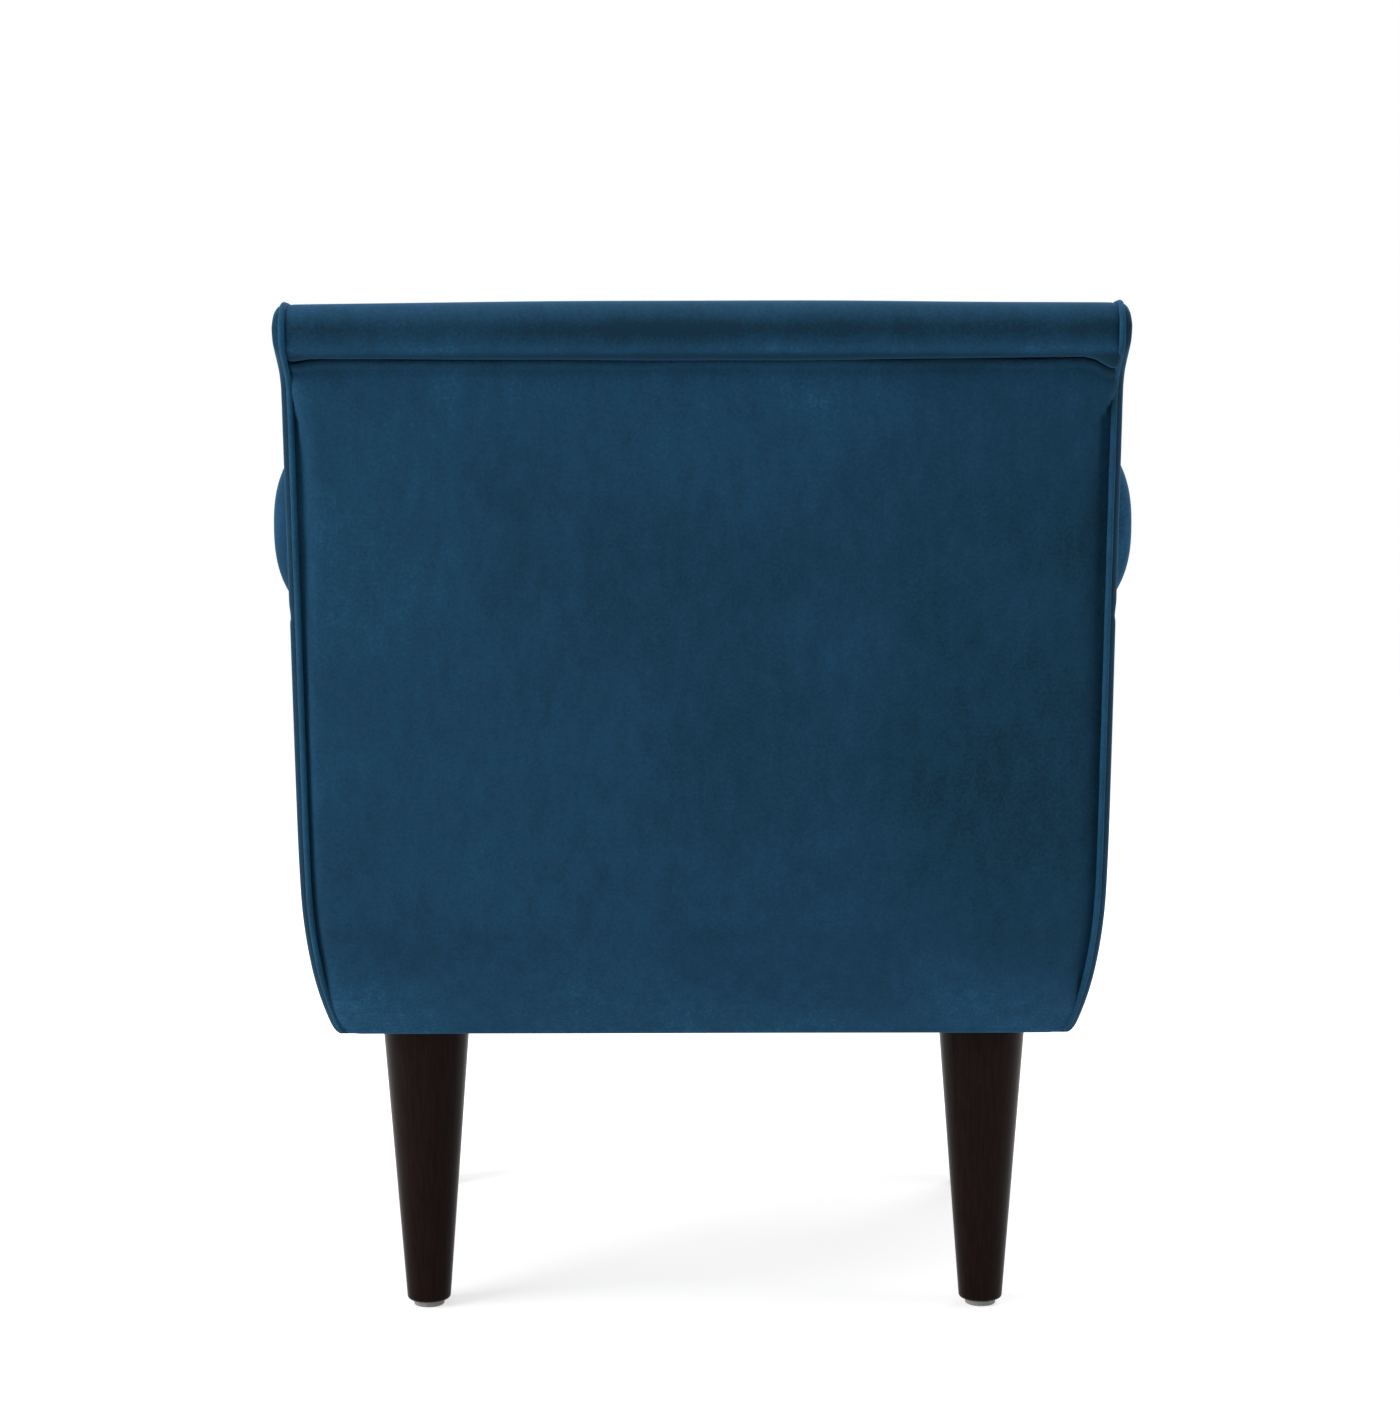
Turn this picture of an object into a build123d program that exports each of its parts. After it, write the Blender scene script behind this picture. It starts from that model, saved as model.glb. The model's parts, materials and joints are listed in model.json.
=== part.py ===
from build123d import *
from functools import cache
from math import cos, radians, sin, sqrt, tan
import os

# Upholstered armchair with a scrolled back, rolled arms and a loose seat cushion.
# Millimetres. The chair faces -Y, +Z is up and its own left side is +X. The origin is on the
# floor, under the middle of the chair.

# Overall sizes
OVERALL_HEIGHT = 802.0  # floor to the crown of the piping on the scroll
OVERALL_DEPTH = 736.0  # front piping of the cushion to the rear piping of the scroll
ARM_SPREAD = 662.0  # across the outsides of the rolled arms
ROLL_REACH = 21.0  # how far a rolled arm stands out past the side facing
ARM_WIDTH = 67.0  # inside arm to side facing

# Layers of the upholstery
COVER = 3.0  # velvet on thin wadding
FACING = 5.0  # velvet on the thicker wadding of the side panels
BOARD = 3.0  # stiff cardboard behind the outside panels
PIPING_D = 4.6
PIPING_GAP = 0.2  # room beside the piping
LAYER_GAP = 0.3  # room between layers that lie on each other
PANEL_EASE = 0.5  # more room beside the piping for the outside back, where both draw in

# Scrolled back, seen from the side
LIP_HEIGHT = 38.0  # drop of the scroll's rounded lip
LIP_REACH = 35.0  # overhang of the lip behind the outside back
LIP_ROUND = 18.0
LIP_SEAM = 12.0  # seam under the lip, behind the neck
NECK_ROUND = 14.0
SCROLL_DEPTH = 89.0  # flat of the top, before its front is rounded
SCROLL_ROUND = 78.0
INSIDE_RAKE = 18.2  # degrees from upright
OUTSIDE_RAKE = 9.2
HEEL_HEIGHT = 84.0  # where the outside back starts to sweep forward
HEEL_LEAN = 37.8
SIDE_TUCK = 16.0  # how far the sides draw in below the heel
SWEEP_SHARE = 0.9  # share of the shorter run that a sweeping bend takes

# Rolled arms, seen from the front
ARM_DROP = 95.0  # top of the rolls, below the overall height
ROLL_HEIGHT = 140.0
ROLL_ROUND = 62.0
ROLL_INNER_ROUND = 25.0
ARM_SETBACK = 113.0  # rear end of the roll, ahead of the scroll's lip
ARM_SEAM_ROUND = 6.0  # where the front piping turns under the roll

# Wooden frame
RAIL_T = 25.0  # front, rear and cross rails
POST_T = 35.0  # back posts, side rails and arm rails
RAIL_HEIGHT = 93.0
PLY = 18.0  # arm front boards
POST_NECK = 36.0  # width of a back post under the scroll
POST_FOOT = 58.0  # width of a back post at the seat frame's underside
SCROLL_PAD = 16.0  # foam round the head of a post
TOP_RAIL_HEIGHT = 32.0
TOP_RAIL_DEPTH = 26.0
TOP_RAIL_DROP = 14.0  # below the scroll's lip
BACK_RAIL_HEIGHT = 55.0
LOWER_RAIL_RISE = 8.0  # above the seat deck
LUMBAR_RAIL_RISE = 150.0
RAIL_BEHIND_WEBBING = 16.0
ARM_RAIL_DROP = 57.0  # arm rail below the top of the roll
ARM_RAIL_HEIGHT = 65.0
TACK_RAIL_HEIGHT = 40.0
TACK_RAIL_T = 20.0
WEBBING_WIDTH = 50.0
WEBBING_T = 1.6
STRAP_SHARES = (0.41, 0.8)  # middles of the lower straps, on the way from the deck to the arm rails
UPPER_STRAP_RISE = 35.0  # middle of the upper strap, above the arm rails
DOWEL_D = 8.0
DOWEL_LENGTH = 40.0
DOWEL_IN_SIDE = 13.0  # the part of a dowel in the post or the arm front board
DOWEL_SPACING = 40.0
TOP_DOWEL_SPACING = 15.0

# Corner blocks and their screws
BLOCK_HEIGHT = 40.0
FRONT_BLOCK = 100.0
REAR_BLOCK = 120.0
SCREW_D = 4.5
SCREW_HEAD_D = 8.0
SCREW_HEAD_T = 3.0
SCREW_IN_BLOCK = 22.0
SCREW_IN_RAIL = 13.0
SCREW_RISE = 28.0
SCREW_SHARE = 0.68  # place of a screw along a side of its block
SCREW_GAP = 0.1

# Legs, glides and their hardware
LEG_LENGTH = 229.0
LEG_TOP_D = 70.0
LEG_FOOT_D = 35.0
LEG_FOOT_ROUND = 3.0
FRONT_LEG_INSET = 56.0  # in from the side facing
FRONT_LEG_SETBACK = 74.0  # behind the arm fronts
REAR_LEG_INSET = 84.5
REAR_LEG_SETBACK = 57.0  # ahead of the outside back's lower edge
GLIDE_D = 25.0
GLIDE_H = 5.0
GLIDE_ROUND = 1.6
NAIL_D = 3.0
NAIL_LENGTH = 12.0
BOLT_D = 8.0
BOLT_IN_LEG = 40.0
BOLT_PAST_NUT = 6.0
BOLT_GAP = 0.1
TEE_BARREL_D = 11.0
TEE_BARREL_LENGTH = 14.0
TEE_FLANGE_D = 22.0
TEE_FLANGE_T = 1.5
DUST_COVER_T = 1.0
DUST_COVER_EDGE = 2.0
DUST_COVER_ROUND = 12.0

# Seat suspension
SPRING_COUNT = 5
SPRING_SPACING = 90.0
SPRING_WIRE_D = 3.8
SPRING_HALF_WIDTH = 22.0
SPRING_WAVES = 16  # runs across the spring, after the first
SPRING_SETBACK = 6.0  # end bar, in from the rail's inner edge
CLIP_T = 1.2
CLIP_WIDTH = 16.0
CLIP_BASE = 14.0
CLIP_GAP = 0.1
DECK_PAD = 8.0
DECK_CLOTH = 2.0
DECK_PAST_CREVICE = 24.0

# Loose seat cushion
CUSHION_OVERHANG = 24.0  # ahead of the arm fronts
CUSHION_CLEAR = 2.5  # beside the arms
CUSHION_BACK_CLEAR = 4.0
CUSHION_HEIGHT = 100.0  # deck to the upper piping
CUSHION_LIFT = 3.0  # deck to the lower piping
CUSHION_CORNER = 28.0
CUSHION_DRAW = 4.0  # drawn-in middle of the sides and the front
CROWN_STEPS = ((0.0, 0.0), (10.0, 8.0), (45.0, 15.0), (110.0, 20.0))  # inset, rise
ZIP_INSET = 53.0  # each end of the zip, in from the inside arm
ZIP_SLOT = 14.0
ZIP_TAPE_WIDTH = 24.0
ZIP_TAPE_T = 1.0
ZIP_COIL_WIDTH = 5.0
ZIP_COIL_H = 1.6
ZIP_SLIDER_LENGTH = 14.0
ZIP_SLIDER_WIDTH = 9.0
ZIP_SLIDER_WALL = 1.9
ZIP_PULL_LENGTH = 24.0
ZIP_PULL_WIDTH = 7.0
ZIP_PULL_T = 1.4
ZIP_GAP = 0.3
ZIP_END = 3.0  # slider's stop, in from the slot's end

# Places that follow from the sizes above
HALF_ARM = ARM_SPREAD / 2
HALF_BACK = HALF_ARM - ROLL_REACH
HALF_SEAT = HALF_BACK - ARM_WIDTH
PIPING_R = PIPING_D / 2
TOP_Z = OVERALL_HEIGHT - PIPING_R
REAR_Y = OVERALL_DEPTH / 2 - PIPING_R
FRONT_Y = CUSHION_OVERHANG - OVERALL_DEPTH / 2
LEG_TOP_Z = GLIDE_H + LEG_LENGTH
FRAME_Z = LEG_TOP_Z + DUST_COVER_T
RAIL_TOP = FRAME_Z + RAIL_HEIGHT
SPRING_R = SPRING_WIRE_D / 2
CLIP_LOOP_R = SPRING_R + CLIP_GAP
SPRING_Z = RAIL_TOP + CLIP_T + CLIP_LOOP_R
DECK_UNDER = SPRING_Z + CLIP_LOOP_R + CLIP_T + LAYER_GAP
DECK_Z = DECK_UNDER + DECK_PAD + DECK_CLOTH

LIP_Z = TOP_Z - LIP_HEIGHT
NECK_Y = REAR_Y - LIP_REACH
HEEL_Z = FRAME_Z + HEEL_HEIGHT
HEEL_Y = NECK_Y - (LIP_Z - HEEL_Z) * tan(radians(OUTSIDE_RAKE))
FOOT_Y = HEEL_Y - HEEL_HEIGHT * tan(radians(HEEL_LEAN))
SCROLL_Y = REAR_Y - SCROLL_DEPTH
UNDER_COVER = COVER + LAYER_GAP
UNDER_FACING = FACING + LAYER_GAP
SIDE_LAYERS = FACING + BOARD + 2 * LAYER_GAP
REAR_LAYERS = COVER + BOARD + 2 * LAYER_GAP
FRAME_X = HALF_BACK - SIDE_LAYERS
POST_X = FRAME_X - POST_T
PIPING_X = HALF_BACK - FACING - PIPING_GAP - PIPING_R
COVER_HALF = PIPING_X - PIPING_R - PIPING_GAP
ARM_TOP = OVERALL_HEIGHT - ARM_DROP
ROLL_BOTTOM = ARM_TOP - ROLL_HEIGHT
ROLL_AXIS_X = HALF_ARM - ROLL_ROUND
ROLL_AXIS_Z = ROLL_BOTTOM + ROLL_ROUND
ARM_END = REAR_Y - ARM_SETBACK
SIDE_SEAM_X = HALF_BACK - FACING
SIDE_TOP = ROLL_AXIS_Z - sqrt(ROLL_ROUND**2 - (SIDE_SEAM_X - ROLL_AXIS_X) ** 2) - LAYER_GAP
ARM_RAIL_TOP = ARM_TOP - ARM_RAIL_DROP
FRONT_PIPING_Y = FRONT_Y + COVER + PIPING_GAP + PIPING_R
ARM_START = FRONT_PIPING_Y + PIPING_R + PIPING_GAP
BOARD_FRONT_Y = ARM_START
BOARD_REAR_Y = BOARD_FRONT_Y + PLY
FRONT_RAIL_REAR = BOARD_FRONT_Y + RAIL_T
FRONT_RAIL_HALF = HALF_SEAT + UNDER_FACING
FAR = OVERALL_HEIGHT + OVERALL_DEPTH  # past every edge, for cutting shapes


def inside_y(z):
    """Front face of the inside back at height z, below its rolled top."""
    return SCROLL_Y - (TOP_Z - z) * tan(radians(INSIDE_RAKE))


def post_front_y(z):
    """Front edge of a back post at height z."""
    foot = FOOT_Y - REAR_LAYERS / cos(radians(HEEL_LEAN)) - POST_FOOT
    neck = NECK_Y - REAR_LAYERS / cos(radians(OUTSIDE_RAKE)) - POST_NECK
    return foot + (neck - foot) * (z - FRAME_Z) / (LIP_Z - FRAME_Z)


def middle_y(z):
    """A line between the inside and the outside of the back."""
    foot = FOOT_Y - POST_FOOT / 2
    neck = NECK_Y - POST_NECK / 2
    return foot + (neck - foot) * (z - FRAME_Z) / (LIP_Z - FRAME_Z)


def sweep_radius(before, corner, after, run):
    """Radius of the bend that takes a set length of the runs beside a corner."""
    into = Vector(*corner) - Vector(*before)
    out = Vector(*after) - Vector(*corner)
    return run / tan(radians(into.get_angle(out)) / 2)


HEEL_RUN = SWEEP_SHARE * HEEL_HEIGHT / cos(radians(HEEL_LEAN))
REAR_RAIL_Y = post_front_y(RAIL_TOP) + LAYER_GAP
CREVICE_Y = inside_y(DECK_Z)
FRONT_LEG_X = HALF_BACK - FRONT_LEG_INSET
REAR_LEG_X = HALF_BACK - REAR_LEG_INSET
LEGS = {
    "front_left": (FRONT_LEG_X, FRONT_Y + FRONT_LEG_SETBACK),
    "front_right": (-FRONT_LEG_X, FRONT_Y + FRONT_LEG_SETBACK),
    "rear_left": (REAR_LEG_X, FOOT_Y - REAR_LEG_SETBACK),
    "rear_right": (-REAR_LEG_X, FOOT_Y - REAR_LEG_SETBACK),
}


# Helpers
def rounded(points, radii):
    return make_face(FilletPolyline(*points, radius=radii, close=True))


def polygon(*points):
    return make_face(Polyline(*points, close=True))


def window(u_low, u_high, v_low, v_high):
    middle = Pos((u_low + u_high) / 2, (v_low + v_high) / 2)
    return middle * Rectangle(u_high - u_low, v_high - v_low)


def band(face, outer, inner):
    """The strip of a face between two insets from its edge."""
    rim = offset(face, -outer) if outer else face
    return rim - offset(face, -inner)


def along_x(face, x_low, x_high):
    """A side-view face (Y, Z) carried from x_low to x_high."""
    return extrude(Plane.YZ.offset(x_low) * face, amount=x_high - x_low)


def along_y(face, y_low, y_high):
    """A front-view face (X, Z) carried from y_low to y_high."""
    return extrude(Plane.XZ.offset(-y_high) * face, amount=y_high - y_low)


def along_z(face, z_low, z_high):
    return extrude(Pos(0, 0, z_low) * face, amount=z_high - z_low)


def block(x_low, x_high, y_low, y_high, z_low, z_high):
    return along_z(window(x_low, x_high, y_low, y_high), z_low, z_high)


def rod(start, end, diameter):
    line = Vector(*end) - Vector(*start)
    return extrude(Plane(start, z_dir=line) * Circle(diameter / 2), amount=line.length)


def tube(path, diameter):
    start = Plane(path @ 0, z_dir=path % 0)
    return sweep(start * Circle(diameter / 2), path=path)


def mirrored(part):
    return mirror(part, about=Plane.YZ)


def save(name, *pieces):
    solids = [solid for piece in pieces for solid in piece.solids()]
    shape = solids[0] if len(solids) == 1 else Compound(solids)
    export_step(shape, f"parts/{name}.step")


def save_pair(name, left):
    save(f"{name}_left", left)
    save(f"{name}_right", mirrored(left))


# Outlines shared by the pieces
def back_corners():
    """Corners of the back in side view, from the outside back's foot up over the scroll."""
    below = FRAME_Z / 2  # both lines run on past the frame, and each piece is cut to its own height
    foot_y = FOOT_Y - (FRAME_Z - below) * tan(radians(HEEL_LEAN))
    return [
        (foot_y, below),
        (HEEL_Y, HEEL_Z),
        (NECK_Y, LIP_Z),
        (REAR_Y, LIP_Z),
        (REAR_Y, TOP_Z),
        (SCROLL_Y, TOP_Z),
        (inside_y(below), below),
    ]


def back_outline():
    corners = back_corners()
    heel = sweep_radius(*corners[:3], HEEL_RUN)
    return rounded(corners, [0, heel, NECK_ROUND, LIP_ROUND, LIP_ROUND, SCROLL_ROUND, 0])


def side_outline(inset):
    """The chair's width in rear view: upright sides that draw in below the heel."""
    wide = HALF_BACK - inset
    low = wide - SIDE_TUCK
    corners = [(low, FRAME_Z), (wide, HEEL_Z), (wide, TOP_Z)]
    bend = sweep_radius(*corners, SWEEP_SHARE * HEEL_HEIGHT)
    left = [(-x, z) for x, z in reversed(corners)]
    return rounded(corners + left, [0, bend, 0, 0, bend, 0])


def arm_outline():
    """A rolled arm in front view, with the padded inside arm as its stem."""
    corners = [
        (HALF_SEAT, DECK_Z),
        (HALF_SEAT, ARM_TOP),
        (HALF_ARM, ARM_TOP),
        (HALF_ARM, ROLL_BOTTOM),
        (POST_X, ROLL_BOTTOM),
        (POST_X, DECK_Z),
    ]
    return rounded(corners, [0, ROLL_INNER_ROUND, ROLL_ROUND, ROLL_ROUND, 0, 0])


def arm_front_outline():
    """The whole front of an arm: the roll, and the panel under it down to the frame."""
    under = side_outline(0) & window(HALF_SEAT, HALF_BACK, FRAME_Z, ROLL_AXIS_Z)
    front = arm_outline() + under
    notch = Vector(HALF_BACK, SIDE_TOP)
    inner = front.vertices().sort_by(lambda v: (Vector(*v) - notch).length)[0]
    return fillet(inner, ARM_SEAM_ROUND)


BACK = back_outline()
ARM = arm_outline()
ARM_FRONT = arm_front_outline()
REAR_HALF = polygon(
    (middle_y(FRAME_Z), FRAME_Z),
    (middle_y(LIP_Z), LIP_Z + COVER),
    (NECK_Y + LIP_SEAM, LIP_Z + COVER),
    (NECK_Y + LIP_SEAM, FRAME_Z),
)
BEHIND_BACK = along_x(
    polygon((CREVICE_Y, DECK_Z), (SCROLL_Y, TOP_Z), (FAR, TOP_Z), (FAR, DECK_Z)),
    -HALF_BACK - LAYER_GAP,
    HALF_BACK + LAYER_GAP,
)


def between_sides(part, inset):
    """Cut a piece to the chair's width, drawn-in sides included."""
    return part & along_y(side_outline(inset), -FAR, FAR)


# Legs and their hardware
def leg():
    turned = Cone(LEG_FOOT_D / 2, LEG_TOP_D / 2, LEG_LENGTH, align=(Align.CENTER, Align.CENTER, Align.MIN))
    turned = fillet(turned.edges().sort_by(Axis.Z)[0], LEG_FOOT_ROUND)
    bore = rod((0, 0, LEG_LENGTH - BOLT_IN_LEG), (0, 0, LEG_LENGTH), BOLT_D + 2 * BOLT_GAP)
    nail_hole = rod((0, 0, 0), (0, 0, NAIL_LENGTH), NAIL_D + 2 * BOLT_GAP)
    return Pos(0, 0, GLIDE_H) * (turned - bore - nail_hole)


def glide():
    disc = rod((0, 0, 0), (0, 0, GLIDE_H), GLIDE_D)
    disc = fillet(disc.edges().sort_by(Axis.Z)[0], GLIDE_ROUND)
    return disc + rod((0, 0, 0), (0, 0, GLIDE_H + NAIL_LENGTH), NAIL_D)


BLOCK_TOP = FRAME_Z + BLOCK_HEIGHT


def hanger_bolt():
    top = BLOCK_TOP + TEE_FLANGE_T + BOLT_PAST_NUT
    return rod((0, 0, LEG_TOP_Z - BOLT_IN_LEG), (0, 0, top), BOLT_D)


def tee_nut():
    barrel = rod((0, 0, BLOCK_TOP - TEE_BARREL_LENGTH), (0, 0, BLOCK_TOP), TEE_BARREL_D)
    flange = rod((0, 0, BLOCK_TOP), (0, 0, BLOCK_TOP + TEE_FLANGE_T), TEE_FLANGE_D)
    bore = rod((0, 0, LEG_TOP_Z), (0, 0, BLOCK_TOP + TEE_FLANGE_T), BOLT_D + 2 * BOLT_GAP)
    return barrel + flange - bore


def at_legs(piece):
    return [Pos(x, y, 0) * piece for x, y in LEGS.values()]


def dust_cover():
    wide = 2 * (HALF_BACK - SIDE_TUCK - DUST_COVER_EDGE)
    front = FRONT_Y + DUST_COVER_EDGE
    rear = FOOT_Y - DUST_COVER_EDGE
    sheet = Pos(0, (front + rear) / 2) * RectangleRounded(wide, rear - front, DUST_COVER_ROUND)
    for x, y in LEGS.values():
        sheet -= Pos(x, y) * Circle(TEE_BARREL_D / 2)
    return along_z(sheet, LEG_TOP_Z, FRAME_Z)


# Corner blocks and their screws
def corner_block(size, corner_y, toward):
    """A triangular block in the corner of a side rail and the front or rear rail."""
    leg_x, leg_y = LEGS["front_left" if toward > 0 else "rear_left"]
    corners = ((POST_X, corner_y), (POST_X, corner_y + toward * size), (POST_X - size, corner_y))
    body = along_z(polygon(*corners), FRAME_Z, BLOCK_TOP)
    body -= rod((leg_x, leg_y, FRAME_Z), (leg_x, leg_y, BLOCK_TOP), TEE_BARREL_D + 2 * BOLT_GAP)
    for start, inward in block_screw_lines(size, corner_y, toward):
        body -= screw_hole(start, inward)
    return body


def block_screw_lines(size, corner_y, toward):
    """Rail face point and direction of the two screws of a left-hand block."""
    height = FRAME_Z + SCREW_RISE
    along = size * SCREW_SHARE
    to_side_rail = ((POST_X, corner_y + toward * along, height), (1, 0, 0))
    to_cross_rail = ((POST_X - along, corner_y, height), (0, -toward, 0))
    return to_side_rail, to_cross_rail


def screw(face_point, direction):
    face = Vector(*face_point)
    way = Vector(*direction)
    head = face - way * SCREW_IN_BLOCK
    shank = rod(head, face + way * SCREW_IN_RAIL, SCREW_D)
    return shank + rod(head, head + way * SCREW_HEAD_T, SCREW_HEAD_D)


def screw_hole(face_point, direction):
    face = Vector(*face_point)
    way = Vector(*direction)
    seat = face - way * (SCREW_IN_BLOCK - SCREW_HEAD_T - SCREW_GAP)
    shank = rod(seat, face + way * (SCREW_IN_RAIL + SCREW_GAP), SCREW_D + 2 * SCREW_GAP)
    return shank + rod(seat - way * REAR_BLOCK, seat, SCREW_HEAD_D + 2 * SCREW_GAP)


FRONT_CORNER = (FRONT_BLOCK, FRONT_RAIL_REAR, 1)
REAR_CORNER = (REAR_BLOCK, REAR_RAIL_Y, -1)
SCREW_LINES = [line for corner in (FRONT_CORNER, REAR_CORNER) for line in block_screw_lines(*corner)]


def on_both_sides(pieces):
    return list(pieces) + [mirrored(piece) for piece in pieces]


def without_screws(part):
    for face_point, direction in SCREW_LINES:
        hole = screw_hole(face_point, direction)
        part = part - hole - mirrored(hole)
    return part


# Dowels that join the rails to the posts and the arm front boards
TOP_RAIL_Z = LIP_Z - TOP_RAIL_DROP
TOP_RAIL_Y = post_front_y(TOP_RAIL_Z + TOP_RAIL_HEIGHT) + LAYER_GAP


def dowel_places():
    """Joint face x, y and the two heights of each left-hand pair of dowels."""
    low = FRAME_Z + (RAIL_HEIGHT - DOWEL_SPACING) / 2
    top_y = TOP_RAIL_Y + TOP_RAIL_DEPTH / 2
    top_z = TOP_RAIL_Z + (TOP_RAIL_HEIGHT - TOP_DOWEL_SPACING) / 2
    return [
        (FRONT_RAIL_HALF, BOARD_FRONT_Y + PLY / 2, low),
        (FRONT_RAIL_HALF, BOARD_FRONT_Y + PLY / 2, low + DOWEL_SPACING),
        (POST_X, REAR_RAIL_Y + RAIL_T / 2, low),
        (POST_X, REAR_RAIL_Y + RAIL_T / 2, low + DOWEL_SPACING),
        (POST_X, top_y, top_z),
        (POST_X, top_y, top_z + TOP_DOWEL_SPACING),
    ]


def dowel(x, y, z, room=0.0):
    start = x + DOWEL_IN_SIDE - DOWEL_LENGTH - room
    return rod((start, y, z), (x + DOWEL_IN_SIDE + room, y, z), DOWEL_D + 2 * room)


def without_dowels(part):
    for x, y, z in dowel_places():
        hole = dowel(x, y, z, SCREW_GAP)
        part = part - hole - mirrored(hole)
    return part


# Wooden frame
@cache
def back_post():
    """A scroll-shaped post: a foot on the seat frame, a raked shaft and a head inside the lip."""
    head_y = REAR_Y - COVER - SCROLL_PAD
    head_z = TOP_Z - COVER - SCROLL_PAD
    corners = [
        (post_front_y(FRAME_Z), FRAME_Z),
        (FAR, FRAME_Z),
        (FAR, LIP_Z),
        (head_y, LIP_Z),
        (head_y, head_z),
        (post_front_y(head_z), head_z),
    ]
    shape = offset(BACK, -REAR_LAYERS) & polygon(*corners)
    return without_dowels(between_sides(along_x(shape, POST_X, FRAME_X), SIDE_LAYERS))


def seat_rails():
    front = block(-FRONT_RAIL_HALF, FRONT_RAIL_HALF, BOARD_FRONT_Y, FRONT_RAIL_REAR, FRAME_Z, RAIL_TOP)
    rear = block(-POST_X, POST_X, REAR_RAIL_Y, REAR_RAIL_Y + RAIL_T, FRAME_Z, RAIL_TOP)
    side = block(POST_X, FRAME_X, BOARD_REAR_Y, REAR_RAIL_Y, FRAME_Z, RAIL_TOP)
    side = between_sides(side, SIDE_LAYERS) - back_post()
    return without_dowels(without_screws(front)), without_dowels(without_screws(rear)), without_screws(side)


def cross_rail(rise):
    """A rail between the back posts, set behind the webbing."""
    low = DECK_Z + rise
    front = post_front_y(low + BACK_RAIL_HEIGHT) + RAIL_BEHIND_WEBBING
    return block(-POST_X, POST_X, front, front + RAIL_T, low, low + BACK_RAIL_HEIGHT)


def top_rail():
    rear = TOP_RAIL_Y + TOP_RAIL_DEPTH
    rail = block(-POST_X, POST_X, TOP_RAIL_Y, rear, TOP_RAIL_Z, TOP_RAIL_Z + TOP_RAIL_HEIGHT)
    return without_dowels(rail)


def arm_rail(z_low, z_high, outer_x):
    """A rail from the arm front board to the back post."""
    rail = block(POST_X, outer_x, BOARD_REAR_Y, post_front_y(z_high), z_low, z_high)
    return rail - back_post()


@cache
def arm_top_rail():
    return arm_rail(ARM_RAIL_TOP - ARM_RAIL_HEIGHT, ARM_RAIL_TOP, FRAME_X)


@cache
def arm_tack_rail():
    low = DECK_Z + LOWER_RAIL_RISE
    return arm_rail(low, low + TACK_RAIL_HEIGHT, POST_X + TACK_RAIL_T)


def arm_front_board():
    board = along_y(offset(ARM_FRONT, -UNDER_FACING), BOARD_FRONT_Y, BOARD_REAR_Y)
    return without_dowels(board) - arm_cover()


def back_webbing():
    straps = []
    under_arm_rail = ARM_RAIL_TOP - ARM_RAIL_HEIGHT - DECK_Z
    middles = [DECK_Z + share * under_arm_rail for share in STRAP_SHARES]
    for middle in (*middles, ARM_RAIL_TOP + UPPER_STRAP_RISE):
        low = middle - WEBBING_WIDTH / 2
        high = middle + WEBBING_WIDTH / 2
        strap = polygon(
            (post_front_y(low), low),
            (post_front_y(high), high),
            (post_front_y(high) - WEBBING_T, high),
            (post_front_y(low) - WEBBING_T, low),
        )
        straps.append(along_x(strap, -FRAME_X, FRAME_X))
    return straps


# Seat suspension
SPRING_START = FRONT_RAIL_REAR - SPRING_SETBACK
SPRING_END = REAR_RAIL_Y + SPRING_SETBACK
SPRING_PITCH = (SPRING_END - SPRING_START) / SPRING_WAVES
SPRING_BEND = 0.49 * SPRING_PITCH
CLIP_X = SPRING_HALF_WIDTH / 3  # on the straight half of an end bar


def seat_spring():
    """A sinuous spring: bars across it, joined by half-round bends, with a bar in each clip."""
    points = []
    for bar in range(SPRING_WAVES + 1):
        y = SPRING_START + bar * SPRING_PITCH
        reach = SPRING_HALF_WIDTH if bar % 2 == 0 else -SPRING_HALF_WIDTH
        points += [(-reach, y, SPRING_Z), (reach, y, SPRING_Z)]
    return tube(FilletPolyline(*points, radius=SPRING_BEND), SPRING_WIRE_D)


def spring_clip(bar_y, outward):
    """A clip on top of a rail, closed round the spring's end bar."""
    base_end = bar_y + outward * (CLIP_LOOP_R + CLIP_BASE)
    low, high = sorted((bar_y, base_end))
    profile = Pos(bar_y, SPRING_Z) * Circle(CLIP_LOOP_R + CLIP_T)
    profile += window(low, high, RAIL_TOP, RAIL_TOP + CLIP_T)
    profile -= Pos(bar_y, SPRING_Z) * Circle(CLIP_LOOP_R)
    middle = outward * CLIP_X
    return along_x(profile, middle - CLIP_WIDTH / 2, middle + CLIP_WIDTH / 2)


def spring_rows(piece):
    middle = (SPRING_COUNT - 1) / 2
    return [Pos((row - middle) * SPRING_SPACING, 0, 0) * piece for row in range(SPRING_COUNT)]


def deck(z_low, z_high):
    half = HALF_SEAT - LAYER_GAP
    return block(-half, half, BOARD_FRONT_Y, CREVICE_Y + DECK_PAST_CREVICE, z_low, z_high)


# Padding and stiff boards of the back and the arms
def arm_rails_cut(part):
    for rail in (arm_top_rail(), arm_tack_rail()):
        part = part - rail - mirrored(rail)
    return part


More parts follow.
